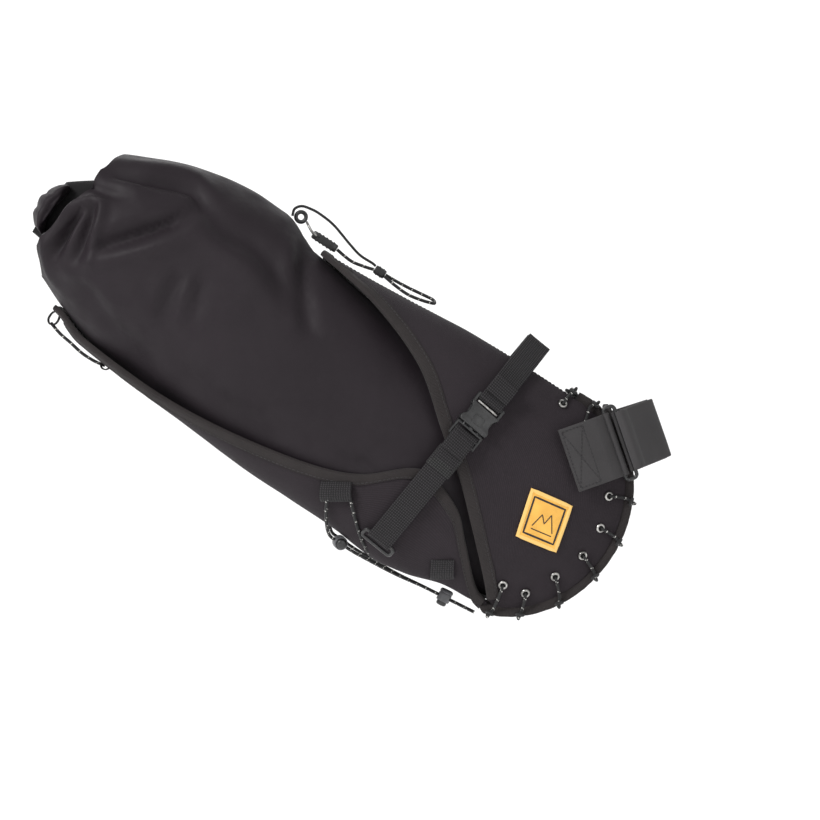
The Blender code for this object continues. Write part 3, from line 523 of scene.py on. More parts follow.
def make_hard_finishes():
    rubber = Finish("rubberised_strap", (0.038, 0.036, 0.037), 0.75, sheen=0.02, specular=0.2)
    grain = rubber.texture("TexNoise", 1500.0, Detail=3.0)
    rubber.shade(rubber.blotches(30, 4), 0.82)
    rubber.shade(rubber.times(grain, 0.6), 1.5)
    rubber.emboss(grain, 0.5, 0.00022)

    grip = Finish("grip_rubber", (0.034, 0.032, 0.032), 0.82, specular=0.25)
    pebble = grip.texture("TexVoronoi", 620.0)
    grip.shade(pebble, 1.9)
    grip.emboss(pebble, 0.8, 0.0005)

    for name, colour, rough in (("black_plastic", (0.012, 0.012, 0.0125), 0.34),
                                ("grey_plastic", (0.075, 0.075, 0.08), 0.42)):
        plastic = Finish(name, colour, rough)
        plastic.shade(plastic.blotches(160, 4), 1.35)
        plastic.polish(plastic.blotches(420, 4), rough - 0.08, rough + 0.12)
        plastic.emboss(plastic.texture("TexNoise", 2200.0, Detail=2.0), 0.25, 0.00012)

    metal = Finish("nickel", (0.50, 0.49, 0.47), 0.3, metallic=1.0)
    metal.shade(metal.blotches(260, 4), (0.16, 0.155, 0.15))
    metal.polish(metal.blotches(500, 4), 0.22, 0.45)


# ---------------------------------------------------------------- shape of the shell

def top_line(u):
    return ease(-4, -14, (u - 110) / (MOUTH_U - 110))


def bottom_line(u):
    dip = ease(-178, -189, (u - NOSE_U) / 80)
    rise = ease(0, 6, (u - 220) / 115)
    return dip + rise + max(0, u - TONGUE_START) * 0.12


def strip_half(u):
    """Half width of the centre strip that joins the two side panels."""
    return ease(38, 30, (u - 60) / 200)


def shell_half(u):
    """Greatest half width of the holster."""
    return ease(58, 80, (u + 32) / 192)


def fullness(u):
    """Power of the side wall's bulge: near 1 for a shallow dome, 0.5 for an ellipse."""
    return ease(0.85, 0.5, (u - 30) / 130)


def reach(u, w):
    """How far a place in the side view is from the middle, where 1 is the shell's outline."""
    if u < NOSE_U:
        return hypot((u - NOSE_U) / NOSE_LENGTH, (w - NOSE_W) / NOSE_HEIGHT)
    middle = (top_line(u) + bottom_line(u)) / 2
    return abs(w - middle) / (top_line(u) - middle)


def wall_at(u, part):
    strip = strip_half(u)
    return strip + (shell_half(u) - strip) * (1 - min(part, 1) ** 2.2) ** fullness(u)


def wall(u, w):
    """Half width of the shell's outer face at a place in the side view."""
    return wall_at(u, reach(u, w))


def nose(angle, extra=0.0):
    """(u, w) on the nose's outline. The angle is 0 at the front and pi/2 at the top."""
    return (NOSE_U - (NOSE_LENGTH + extra) * cos(angle), NOSE_W + (NOSE_HEIGHT + extra) * sin(angle))


def nose_out(angle):
    """The outward direction of the nose's outline."""
    return (TAIL * -cos(angle) / NOSE_LENGTH + UP * sin(angle) / NOSE_HEIGHT).normalized()


def nose_angle(u, w):
    return atan2((w - NOSE_W) / NOSE_HEIGHT, (NOSE_U - u) / NOSE_LENGTH)


def outline(t):
    """(u, w) along the side panel's front and top outline, for t from 0 to 1."""
    if t < 0.55:
        return nose(NOSE_BOTTOM + (pi / 2 - NOSE_BOTTOM) * t / 0.55)
    u = NOSE_U + (MOUTH_U - NOSE_U) * (t - 0.55) / 0.45
    return u, top_line(u)


def on_wall(u, w, side, lift):
    """A place on the shell's outer face, raised by lift, and the face's outward direction there."""
    step = 1.5
    here = at(u, w, side * wall(u, w))
    along = at(u + step, w, side * wall(u + step, w)) - at(u - step, w, side * wall(u - step, w))
    upward = at(u, w + step, side * wall(u, w + step)) - at(u, w - step, side * wall(u, w - step))
    outward = turned_to(along.cross(upward).normalized(), ACROSS * side)
    return here + outward * lift, outward


def facing(origin, outward, toward):
    """Local axes with z along outward and x as near as it can be to toward."""
    x_axis = (toward - outward * toward.dot(outward)).normalized()
    return frame_at(origin, x_axis, outward.cross(x_axis), outward)


def from_middle(point):
    along = min(max(point.dot(TAIL), 40), 420)
    return point - at(along, NOSE_W, 0)


def normals(grid):
    """Unit normals of a grid of points, turned away from the bag's middle line."""
    found = []
    for r, row in enumerate(grid):
        before = grid[max(r - 1, 0)]
        after = grid[min(r + 1, len(grid) - 1)]
        line = []
        for c, point in enumerate(row):
            beside = row[min(c + 1, len(row) - 1)] - row[max(c - 1, 0)]
            line.append(turned_to((after[c] - before[c]).cross(beside).normalized(), from_middle(point)))
        found.append(line)
    return found


def shifted(grid, directions, distance):
    """Move a grid along its normals by a distance, or by a function of each point."""
    moved = []
    for row, way in zip(grid, directions):
        moved.append([p + n * (distance(p) if callable(distance) else distance) for p, n in zip(row, way)])
    return moved


# ---------------------------------------------------------------- holster

def panel_relief(point):
    """Soft unevenness of the stiffened side panel, with a dimple under each eyelet."""
    depth = 0.7 * wave(point, 55, 1) + 0.25 * wave(point, 21, 2)
    for u, w in EYELETS:
        depth -= 0.7 * np.exp(-((point.dot(TAIL) - u) ** 2 + (point.dot(UP) - w) ** 2) / 60)
    return float(depth)


def side_panel(side):
    rows = 120
    columns = 44
    edge = spline(MOUTH_EDGE, rows)
    grid = []
    for r in range(rows):
        far = Vector((*outline(r / (rows - 1)), 0))
        line = []
        for c in range(columns + 1):
            spot = edge[r].lerp(far, 0.995 * sin(pi / 2 * c / columns))
            line.append(at(spot.x, spot.y, side * (wall(spot.x, spot.y) + GAP)))
        grid.append(line)
    out = normals(grid)
    return slab(shifted(grid, out, panel_relief), shifted(grid, out, -PANEL_THICKNESS))


def edge_tape(lines):
    """Tape folded over an edge. Lines are (edge point, inward direction, outward direction)."""
    rise = 1.15
    rings = []
    for point, inward, outward in lines:
        puff = 0.22 * wave(point, 9, 5)
        wide = BINDING_WIDTH + 0.5 * wave(point, 14, 6)
        shape = [(-1.0, -0.6), (-0.85, 0.25), (-0.3, rise * 0.75), (0.6, rise + puff),
                 (wide * 0.35, rise + 0.1 + puff), (wide * 0.62, rise + puff),
                 (wide - 1.6, rise - 0.25 + puff * 0.4), (wide - 0.9, rise - 0.05),
                 (wide - 0.3, rise - 0.2), (wide, 0.1)]
        shape += [(x, -PANEL_THICKNESS - (z if z > 0 else -0.2) * 0.6) for x, z in shape[::-1]]
        rings.append([point + inward * x + outward * z for x, z in shape])
    return loft(rings)


def seam(stations):
    """A run of stitches along the inner edge of a tape."""
    inset = BINDING_WIDTH - STITCH_INSET
    return [(point + inward * inset + outward, outward) for point, inward, outward in stations]


def mouth_stations():
    """The bound rear edge, right to left over the top: (point, inward, outward)."""
    count = 110
    edge = even(spline(MOUTH_EDGE, 80), count)
    directions = ways(edge)
    both = []
    for side in (-1, 1):

        def on_panel(spot):
            w = min(spot.y, top_line(spot.x) - 0.05)
            return at(spot.x, w, side * (wall(spot.x, w) + GAP))

        line = []
        for i, spot in enumerate(edge):
            inward = turned_to(Vector((directions[i].y, -directions[i].x, 0)), Vector((-1, 0, 0)))
            inward = inward.lerp(Vector((-1, 0, 0)), smooth((i - count + 16) / 12)).normalized()
            here = on_panel(spot)
            way = (on_panel(spot + inward * BINDING_WIDTH) - here).normalized()
            ahead = on_panel(edge[min(i + 1, count - 1)]) - on_panel(edge[max(i - 1, 0)])
            line.append((here, way, turned_to(ahead.cross(way).normalized(), from_middle(here))))
        both.append(line)
    across = []
    for i in range(1, 16):
        y = strip_half(MOUTH_U) * (i / 8 - 1)
        across.append((at(MOUTH_U - 0.8, top_line(MOUTH_U) + GAP, y), -TAIL, UP))
    return both[0] + across + both[1][::-1]


def gusset(places, inset):
    """Part of the strip between the side panels, through outline places ((u, w), outward)."""
    columns = 10
    grid = []
    directions = []
    for (u, w), outward in places:
        half = strip_half(u) - inset
        grid.append([at(u, w, -half + 2 * half * c / columns) for c in range(columns + 1)])
        directions.append([outward] * (columns + 1))
    return slab(shifted(grid, directions, lambda p: 0.4 * wave(p, 30, 3)), shifted(grid, directions, -2.2))


def holster():
    for word, side in SIDES.items():
        build(f"side_panel_{word}_cloth", side_panel(side), "panel_fabric", [f"side_panel_{word}"])
        rim_tape(word, side)
    front = [(nose(angle, -5 * smooth((radians(-68) - angle) / radians(8))), nose_out(angle))
             for angle in np.linspace(GUSSET_BOTTOM, pi / 2, 60)]
    build("nose_gusset_cloth", gusset(front, 2.4), "rubberised_strap", ["nose_gusset"])
    top = [((u, top_line(u)), UP) for u in np.linspace(NOSE_U + 1, MOUTH_U, 50)]
    build("top_panel_cloth", gusset(top, -0.8), "panel_fabric", ["top_panel"])
    # A thin fin under the top panel, painted near black: painted shade that fills the gap between the top
    # panel and the dry bag.
    rib = []
    for u in np.linspace(190, 281, 30):
        high = top_line(u) - 2
        low = bag_section(u)[0] + 0.6
        rib.append([at(u, w, y) for w, y in ((high, -0.6), (high, 0.6), (low, 0.6), (low, -0.6))])
    build("top_panel_shade_fin", loft(rib), "painted_shade_cloth")
    stations = mouth_stations()
    build("mouth_binding_tape", edge_tape(stations), "binding_tape", ["mouth_binding"])
    runs = [seam(stations)]
    for side in SIDES.values():
        runs.append([(at(u, top_line(u) + 0.1, side * (strip_half(u) - 4)), UP)
                     for u in np.linspace(NOSE_U + 6, MOUTH_U - 10, 60)])
    build("mouth_stitching", stitched(runs), "thread")


def rim_tape(word, side):
    """Rolled binding round the nose's edge, pinched where the lacing crosses it."""
    crossings = [nose_angle(u, w) - radians(3) for u, w in EYELETS]
    rings = []
    for angle in np.linspace(RIM_BOTTOM, radians(96), 230):
        pinch = sum(np.exp(-((angle - a) / radians(1.6)) ** 2) for a in crossings)
        base = at(*nose(angle), side * (strip_half(nose(angle)[0]) - 0.9))
        tall = FLANGE + 0.7 - 0.9 * pinch + 0.25 * wave(base, 5, 8)
        tall *= ease(0.2, 1, (angle - RIM_BOTTOM) / radians(6))
        fat = 2.1 - 0.35 * pinch + 0.3 * wave(base, 11, 9)
        shape = [(-1.2, 1.0), (0.4, 1.25), (1.0, fat * 0.8), (tall * 0.35, fat), (tall * 0.65, fat * 1.02),
                 (tall * 0.88, fat * 0.8), (tall * 0.98, fat * 0.4)]
        shape += [(x, -z) for x, z in shape[::-1]]
        rings.append([base + nose_out(angle) * x + ACROSS * side * z for x, z in shape])
    build(f"rim_binding_{word}_tape", loft(rings), "binding_tape", [f"rim_binding_{word}"])


def cradle_row(u, columns):
    """Points across the cradle's outer face at u, from its right edge to its left edge."""
    middle = (top_line(min(u, MOUTH_U)) + bottom_line(u)) / 2
    if u < NOSE_U:
        low = NOSE_W - NOSE_HEIGHT * sqrt(1 - ((u - NOSE_U) / NOSE_LENGTH) ** 2)
        middle = NOSE_W
    else:
        low = bottom_line(u) - 3.5 * smooth((u - NOSE_U - 15) / 30) * smooth((170 - u) / 60)
    edge = max(height_on(CRADLE_EDGE, u), low + 0.4)
    narrow = 1 - 0.45 * smooth((u - 350) / (CRADLE_END - 350))
    start = (middle - edge) / (middle - low)
    right = []
    for c in range(columns):
        part = start + (1 - start) * sin(pi / 2 * c / columns)
        right.append((middle + (low - middle) * part, -wall_at(u, part) * narrow))
    flat = strip_half(u) * narrow
    bottom = [(low, flat * (k / 4 - 1)) for k in range(9)]
    curl = 6 * smooth((u - 402) / 30)
    return [at(u, w + curl, y) for w, y in right + bottom + [(w, -y) for w, y in right[::-1]]]


def cradle():
    rows = 130
    grid = [cradle_row(u, 18) for u in np.linspace(CRADLE_START, CRADLE_END + 4, rows)]
    out = normals(grid)
    soft = shifted(grid, out, lambda p: 0.5 * wave(p, 50, 11) + 0.2 * wave(p, 18, 12))
    build("cradle_cloth", slab(soft, shifted(grid, out, -PANEL_THICKNESS)), "panel_fabric", ["cradle"])
    places = [(grid[r][0], grid[r][1], out[r][0]) for r in range(1, rows - 2)]
    places += zip(grid[-1], grid[-2], out[-1])
    places += [(grid[r][-1], grid[r][-2], out[r][-1]) for r in range(rows - 3, 0, -1)]
    inward = [(inside - point).normalized() for point, inside, _ in places]
    stations = []
    for i, (point, _, normal) in enumerate(places):
        near = inward[max(i - 3, 0):i + 4]
        stations.append((point, (sum(near, Vector()) / len(near)).normalized(), normal))
    build("cradle_binding_tape", edge_tape(stations), "binding_tape", ["cradle_binding"])
    build("cradle_stitching", stitched([seam(stations)]), "thread")


# ---------------------------------------------------------------- dry bag

# The dry bag bends from here to its tail, which ends on a crease given by (w, u) points
BEND_U = 390
TAIL_U = 460
TAIL_CREASE = [(-175, 452), (-159, 457), (-148, 456), (-139, 461), (-131, 468), (-119, 464), (-107, 461.5),
               (-87, 459.5), (-63, 459), (-46, 455), (-35, 452), (-20, 448), (0, 440)]

# Folds on the side of the dry bag: (route as (u, w) points, half width, height in millimetres)
FOLDS = [
    ([(452, -56), (421, -40), (392, -29), (376, -33)], 4.2, -4.6),
    ([(452, -43), (420, -28), (396, -20), (378, -22)], 6.0, 2.0),
    ([(376, -33), (354, -42), (334, -38), (311, -42), (287, -54), (262, -72)], 9.0, -3.4),
    ([(372, -48), (352, -56), (330, -56), (306, -62), (284, -74)], 9.0, 1.6),
    ([(454, -90), (454, -108), (452, -128)], 3.4, -5.4),
    ([(446, -83), (442, -97), (440, -107), (436, -122)], 3.4, -5.0),
    ([(449, -92), (447, -105), (444, -120)], 2.8, 1.6),
    ([(461, -126), (460, -108), (459, -92), (452, -79), (442, -77), (436, -88), (431, -104), (426, -120)],
     3.4, 3.4),
    ([(431, -112), (408, -84), (389, -57), (381, -38)], 4.4, -4.6),
    ([(424, -119), (400, -94), (379, -68), (370, -52)], 5.6, 2.6),
    ([(438, -100), (420, -76), (402, -54)], 6.0, 1.4),
    ([(362, -90), (360, -108), (356, -127)], 4.2, -2.6),
    ([(354, -86), (350, -102), (346, -122)], 3.8, 2.0),
    ([(348, -84), (342, -98), (336, -112)], 4.2, -2.4),
    ([(371, -96), (370, -112), (366, -130)], 4.6, 1.3),
    ([(300, -18), (289, -31), (275, -49), (257, -69)], 4.2, -3.4),
    ([(307, -24), (297, -40), (283, -58), (268, -74)], 5.0, 2.4),
    ([(184, -139), (172, -135), (158, -131)], 3.2, -2.2),
    ([(330, -142), (290, -152), (240, -152)], 10.0, -1.8),
    ([(424, -134), (392, -150), (350, -160)], 8.0, -2.6),
    ([(470, -116), (452, -139), (430, -150)], 5.0, 2.4),
    ([(440, -136), (420, -130), (396, -134)], 6.0, 1.6),
    ([(466, -70), (448, -68), (430, -62)], 4.5, -2.4),
    ([(464, -56), (446, -55), (430, -50)], 4.5, 1.8),
]
FOLD_SCALE = 1.9


def bag_section(u):
    """Top, bottom, strip half width and greatest half width of the dry bag at u."""
    inner = PANEL_THICKNESS + 1.0
    if u <= MOUTH_U:
        top = -18.6 - (MOUTH_U - u) * 0.142
    else:
        top = ease(-18.6, -4.5, (u - MOUTH_U) / 42) - 18 * max(0, (u - 345) / 90) ** 2
    if u < NOSE_U:
        low = NOSE_W - (NOSE_HEIGHT - inner - 3) * sqrt(1 - ((u - NOSE_U) / (NOSE_LENGTH - inner - 4)) ** 2)
    else:
        low = bottom_line(u) + inner
    low += 17 * smooth((u - 390) / 90)
    wide = shell_half(u) - inner - ease(26, 0.8, u / 140)
    strip = ease(strip_half(u) - 10, 8, (u - 250) / 120)
    return top, low, strip, wide


def fold_height(u, w):
    """Height of the sculpted folds at arrays of places in the side view."""
    total = np.zeros(len(u))
    for route, half, height in FOLDS:
        line = np.array([tuple(p.xy) for p in spline(route, 30)])
        best = np.full(len(u), 1e9)
        share = np.zeros(len(u))
        for k, (a, b) in enumerate(zip(line, line[1:])):
            d = b - a
            t = np.clip(((u - a[0]) * d[0] + (w - a[1]) * d[1]) / (d @ d), 0, 1)
            far = np.hypot(u - a[0] - t * d[0], w - a[1] - t * d[1])
            near = far < best
            best = np.where(near, far, best)
            share = np.where(near, (k + t) / (len(line) - 1), share)
        fade = np.sin(pi * np.clip(0.12 + 0.76 * share, 0, 1)) ** 0.7
        total += FOLD_SCALE * height * fade * np.exp(-(best / half) ** 1.6)
    return total


def bag_ring(u, bend, root=0.0, pinch=0.0, flat=0.0, aim=-96):
    """Points round the dry bag at u, bent to the tail crease and gathered towards w = aim."""
    steps = 56
    top, low, strip, wide = bag_section(u)
    wide *= 1 - 0.17 * smooth((u - 425) / 42)
    power = fullness(u) + 0.05 - 0.12 * smooth((u - 400) / 60)
    right = []
    for i in range(steps + 1):
        part = sin(pi * (i / steps - 0.5))
        w = (top + low) / 2 + (top - low) / 2 * part
        y = strip + (wide - strip) * (1 - abs(part) ** 2.2) ** power
        right.append((w + (aim - w) * pinch, y * (1 - flat)))
    both = [(w, -y) for w, y in right] + right[::-1]
    return [at(u + (over(TAIL_CREASE, w) - TAIL_U) * bend + root, w, y) for w, y in both]


def dry_bag():
    rings = [bag_ring(u, smooth((u - BEND_U) / (TAIL_U - BEND_U)))
             for u in [*np.linspace(3, BEND_U, 70), *np.linspace(BEND_U, TAIL_U, 31)[1:]]]
    rings += [bag_ring(TAIL_U, 1.0, -5.5 * q, 0.40 * q, 0.66 * q) for q in np.linspace(0, 1, 9)[1:] ** 1.4]
    # The throat between the tail crease and the roll is coated nylon painted near black: painted shade for
    # that recess.
    throat = [bag_ring(TAIL_U, 1 - 0.8 * q, 26 * q - 5.2, 0.39 + 0.20 * q, 0.65 + 0.13 * q, -96 - 11 * q)
              for q in np.linspace(0, 1, 9)]
    build("dry_bag_throat", loft(throat), "painted_shade_cloth", body="dry_bag", slot="coated_nylon")
    wrinkle(build("dry_bag_cloth", loft(rings), "coated_nylon", ["dry_bag"], "dry_bag", sharp=60))


def wrinkle(made):
    """Press the folds and finer wrinkles into the dry bag."""
    vertices = made.data.vertices
    spots = np.zeros(len(vertices) * 3)
    out = np.zeros(len(vertices) * 3)
    vertices.foreach_get("co", spots)
    vertices.foreach_get("normal", out)
    spots = spots.reshape(-1, 3) / MM
    u = spots @ np.array(TAIL)
    w = spots @ np.array(UP)
    y = spots[:, 1]
    height = fold_height(np.where(y > 0, u + 9, u), np.where(y > 0, w - 7, w)) * np.clip(np.abs(y) / 30, 0, 1)
    free = np.clip((u + (w + 20) * 0.35 - 150) / 90, 0, 1)
    fine = np.array([0.9 * wave(p, 46, 21) + 0.55 * wave((p[0], p[1], p[2] * 0.5), 22, 22) for p in spots])
    tail = np.clip((u - 415) / 50, 0, 1)
    turn = np.arctan2(w + 94, y)
    pleats = np.sin(7 * turn + 1.3) + 0.7 * np.sin(12 * turn + 0.4)
    height += fine * free * (1 + 0.5 * tail) + 0.9 * pleats * np.clip((u - 468) / 8, 0, 1)
    spots += out.reshape(-1, 3) * height[:, None]
    vertices.foreach_set("co", (spots * MM).ravel())
    made.data.update()


ROLL_U = 476
ROLL_W = -94
ROLL_MIDDLE_W = -101
ROLL_HALF_HEIGHT = 22.5
ROLL_HALF_DEPTH = 6.6
ROLL_HALF_SPREAD = 31
ROLL_BUCKLE_SIZE = 0.78
# The roll's outer face in the side view: (w, u) points
ROLL_BACK = [(-124, 474), (-121, 479), (-119, 485), (-110, 490.6), (-98, 491.8), (-91, 489), (-83, 486.5),
             (-78, 483)]


def roll_closure():
    """The rolled mouth: flattened layers wound round each other, bent into a C."""
    rings = []
    for degrees in np.linspace(-66, 66, 65):
        angle = radians(degrees)
        shrink = 1 - 0.8 * smooth((abs(degrees) - 46) / 20) ** 2
        ring = []
        for k in range(44):
            turn = 2 * pi * (k + 0.5) / 44
            away = ROLL_HALF_DEPTH * shrink * abs(cos(turn)) ** 0.7 * (1 if cos(turn) > 0 else -1)
            rise = ROLL_HALF_HEIGHT * (0.35 + 0.65 * shrink) * sin(turn)
            spot = Vector((30 * angle, rise, away))
            away += 1.2 * wave(spot, 11, 31) + 0.6 * wave(spot, 5, 33)
            away -= 2.0 * np.exp(-((rise + 6 + 4 * sin(angle)) / 2.0) ** 2) * (cos(turn) > 0)
            away -= 1.4 * np.exp(-((rise - 11 + 3 * cos(2 * angle)) / 1.8) ** 2) * (cos(turn) > 0)
            w = ROLL_MIDDLE_W + rise
            back = over(ROLL_BACK, w) - ROLL_HALF_DEPTH - ROLL_U + away
            ring.append(at(ROLL_U - 4 + (back + 4) * cos(angle), w, (ROLL_HALF_SPREAD + away) * sin(angle)))
        rings.append(ring)
    build("roll_closure_cloth", loft(rings), "coated_nylon", ["roll_closure"], "dry_bag", sharp=70)
    place = frame_at(at(ROLL_U, ROLL_W, -18.4 * ROLL_BUCKLE_SIZE), ACROSS, UP, ACROSS.cross(UP))
    place = place @ Matrix.Scale(ROLL_BUCKLE_SIZE, 4)
    build("roll_buckle_prong", male_shapes(place), "black_plastic", ["roll_buckle_male"], "dry_bag")
    build("roll_buckle_clip", female_shapes(place), "black_plastic", ["roll_buckle_female"], "roll_clip")


# ---------------------------------------------------------------- eyelets, lacing and label

def eyelets(word, side):
    profile = [(1.9, -1.2), (1.9, 0.5), (2.1, 0.9), (2.5, 1.15), (3.0, 1.1), (3.45, 0.75), (3.7, 0.25),
               (3.75, -0.3)]
    # Each eyelet gets a near-black disc inside it: painted shade for the inside of the hole.
    hole_shade = [(0.02, -0.9), (1.0, -0.9), (1.95, -0.8), (1.95, -1.2), (0.02, -1.2)]
    places = [facing(*on_wall(u, w, side, 0.8), UP) for u, w in EYELETS]
    build(f"eyelets_{word}", [turned(place, profile) for place in places], "nickel",
          [f"eyelet_{word}_{n}" for n in range(1, len(EYELETS) + 1)])
    build(f"eyelet_hole_shade_{word}", [turned(place, hole_shade) for place in places], "painted_shade_cloth", slot="nickel")


def lacing(word, side):
    """Cord over the bound rim: a line behind the rim, and a knotted strand from each eyelet."""
    shapes = []
    behind = []
    for i, (u, w) in enumerate(EYELETS):
        angle = nose_angle(u, w) + (radians(6) if i == 1 else 0)
        strip = strip_half(u)

        def beside_rim(turn, extra, y):
            return at(*nose(angle - turn, extra), side * (strip + y))

        sunk = on_wall(u, w, side, -1.2)[0]
        rise = on_wall(u, w, side, 2.5)[0].lerp(beside_rim(0.02, 0, 3), 0.22)
        route = [sunk, rise, beside_rim(0.03, 0.6, 4.3), beside_rim(0.055, FLANGE - 1, 3.4),
                 beside_rim(0.068, FLANGE + 2.1, 1.4), beside_rim(0.072, FLANGE + 1.8, -2.6),
                 beside_rim(0.076, FLANGE - 1.4, -4.8), beside_rim(0.08, 3, -6.6)]
        shapes.append(tube(spline(route, 84), 1.15))
        centre = beside_rim(0.056, FLANGE - 0.8, 3.3)
        way = nose_out(angle)
        loop = []
        for k in range(24):
            turn = 2 * pi * k / 24
            loop.append(centre + way.cross(ACROSS) * 2.5 * cos(turn) + ACROSS * side * (1.7 * sin(turn) + 0.3)
                        + way * 0.9 * cos(turn + 0.6))
        shapes.append(tube(loop, 1.1, closed=True))
        if i:
            behind.append(at(*nose((angle + last) / 2, 3.4), side * (strip - 6.8)))
        behind.append(beside_rim(0.08, 3.2, -6.9))
        last = angle
    shapes.append(tube(spline(behind, 12 * len(behind)), 1.1))
    build(f"lacing_{word}", shapes, "flecked_cord", [f"lacing_cord_{word}"], sharp=70)


LABEL = [Vector(c) for c in ((50, -80), (16, -74.5), (7, -111), (40, -117))]


def label_spot(a, b, lift):
    """A place on the label: a runs along its top edge and b down it, both 0 to 1."""
    spot = LABEL[0].lerp(LABEL[1], a).lerp(LABEL[3].lerp(LABEL[2], a), b)
    return on_wall(*spot, -1, 0.8 + lift)


def label_line(corners, lift, width, thickness, closed=True):
    """A raised flat line on the label through (a, b) corners."""
    places = []
    ends = corners[1:] + corners[:1] if closed else corners[1:]
    for (a, b), (c, d) in zip(corners, ends):
        places += [label_spot(a + (c - a) * k / 8, b + (d - b) * k / 8, lift) for k in range(8)]
    if not closed:
        places.append(label_spot(*corners[-1], lift))
    path = [spot for spot, _ in places]
    across = [way.cross(outward) for way, (_, outward) in zip(ways(path, closed), places)]
    return sweep(path, across, band(width, thickness, 2), closed)


def square(inset_a, inset_b):
    return [(inset_a, inset_b), (1 - inset_a, inset_b), (1 - inset_a, 1 - inset_b), (inset_a, 1 - inset_b)]


def label():
    steps = 24
    places = [[label_spot(c / steps, r / steps, 0) for c in range(steps + 1)] for r in range(steps + 1)]
    grid = [[spot for spot, _ in row] for row in places]
    out = [[outward for _, outward in row] for row in places]
    front = shifted(grid, out, lambda p: 1.0 + 0.12 * wave(p, 9, 41))
    build("label_cloth", slab(front, shifted(grid, out, -0.2)), "amber_label", ["label_patch"])
    build("label_hem", label_line(square(0.035, 0.03), 1.0, 3.0, 0.6), "label_edge")
    peaks = [(0.27, 0.68), (0.42, 0.40), (0.52, 0.56), (0.62, 0.34), (0.76, 0.68)]
    lines = [label_line(square(0.13, 0.13), 1.05, 1.5, 0.5), label_line(peaks, 1.05, 0.8, 0.45, False),
             label_line([(0.27, 0.74), (0.76, 0.74)], 1.05, 0.8, 0.45, False)]
    build("label_motif", lines, "thread", slot="amber_label")


# ---------------------------------------------------------------- seatpost strap

RING_FORWARD = -17.5
RING_Y = 45.5
RING_SPAN = 9
STRAP_HEIGHT = 48
STRAP_THICKNESS = 2.0
RING_WIRE = 3.0
PATCH = [(-60, -66), (-46, -61.8), (-36, -57.8), (-30.4, -55.2)]


def post_band(name, node, route, height, count, body="holster"):
    """Rubberised strap along a route of (forward, y) points beside the post."""
    path = even(spline([at_post(forward, 0, y) for forward, y in route], 6 * len(route)), count)
    rings = []
    for point, way in zip(path, ways(path)):
        out = way.cross(POST_UP).normalized()
        spots = [(point + POST_UP * a, b) for a, b in band(height, STRAP_THICKNESS, 20)]
        rings.append([spot + out * (b + 0.16 * wave(spot, 18, 51)) for spot, b in spots])
    build(name, loft(rings), "rubberised_strap", [node], body)


def box_and_cross(place, length, height):
    """Stitch runs for a box with an X in it, on local axes x and y with z outward."""
    x = length / 2
    y = height / 2
    corners = [Vector(c) for c in ((-x, -y), (x, -y), (x, y), (-x, y))]
    pairs = ((0, 1), (1, 2), (2, 3), (3, 0), (0, 2), (3, 1))
    return [[place(*corners[a].lerp(corners[b], k / 10)) for k in range(11)] for a, b in pairs]


def post_strap():
    eye = RING_WIRE / 2 + GAP + STRAP_THICKNESS / 2
    front_bar = (RING_FORWARD + RING_SPAN / 2, -RING_Y)
    rear_bar = (RING_FORWARD - RING_SPAN / 2, -RING_Y)
    wrap = POST_RADIUS + 0.6 + STRAP_THICKNESS / 2
    left = [(-58, 66.5), (-46, 62.5), (-34, 57.5), (-22, 50.5), (-13, 43.5)]
    route = left + arc((0, 0), wrap, 52, -38, 9) + arc(front_bar, eye, 62, 205, 8)
    post_band("post_strap_band", "post_strap", route, STRAP_HEIGHT, 110)
    flap = [(-14, -50.8), (-9, -50.1), (-6.2, -45.7), (-4, -39.9), (1.5, -31), (8, -21),
            (14.2, -12.2), (17.6, -6), (18.6, -1.5)]
    post_band("post_strap_flap_band", "post_strap_flap", flap, STRAP_HEIGHT - 1, 50, "post_flap")
    anchor = PATCH + [(-25.4, -51.2)] + arc(rear_bar, eye, -118, 95, 10)
    post_band("post_strap_anchor_band", "post_strap_anchor", anchor, STRAP_HEIGHT + 2, 80)
    loop = [at_post(RING_FORWARD + a, b, -RING_Y)
            for a, b in round_box(RING_SPAN / 2, STRAP_HEIGHT / 2 + 5, 3)]
    build("post_ring_wire", tube(loop, RING_WIRE / 2, closed=True), "black_plastic", ["post_ring"])
    way = (at_post(-36, 0, -57.8) - at_post(-60, 0, -66)).normalized()
    outward = turned_to(POST_UP.cross(way).normalized(), -ACROSS)

    def on_patch(x, y):
        return at_post(x - 50, y, over(PATCH, x - 50)) + outward * (STRAP_THICKNESS / 2 + 0.15), outward

    runs = box_and_cross(on_patch, 17, STRAP_HEIGHT - 3)
    build("anchor_stitching", stitched(runs, 2.9, 2.2, 0.3), "thread", slot="rubberised_strap")


def grip_pad():
    """The ribbed rubber pad between the nose and the post, with its edges rounded off."""
    face = []
    rear = []
    for r in range(41):
        up = -31 + 62 * r / 40
        rib = 0.25 * abs(sin(pi * up / 6.2))
        face.append([])
        rear.append([])
        for c in range(33):
            y = -28 + 56 * c / 32
            edge = hypot(max(0, abs(up) - 28) / 3, max(0, abs(y) - 25) / 3)
            swell = 1 - 0.7 * min(1, edge) ** 2
            face[-1].append(at_post(-POST_RADIUS - 0.5 - 2.3 * (1 - swell) - rib, up, y))
            rear[-1].append(at_post(-POST_RADIUS - 4.8 + 2.0 * (1 - swell), up, y))
    made = build("grip_pad_rubber", slab(face, rear), "grip_rubber", ["grip_pad"])


# ---------------------------------------------------------------- rail straps and buckles

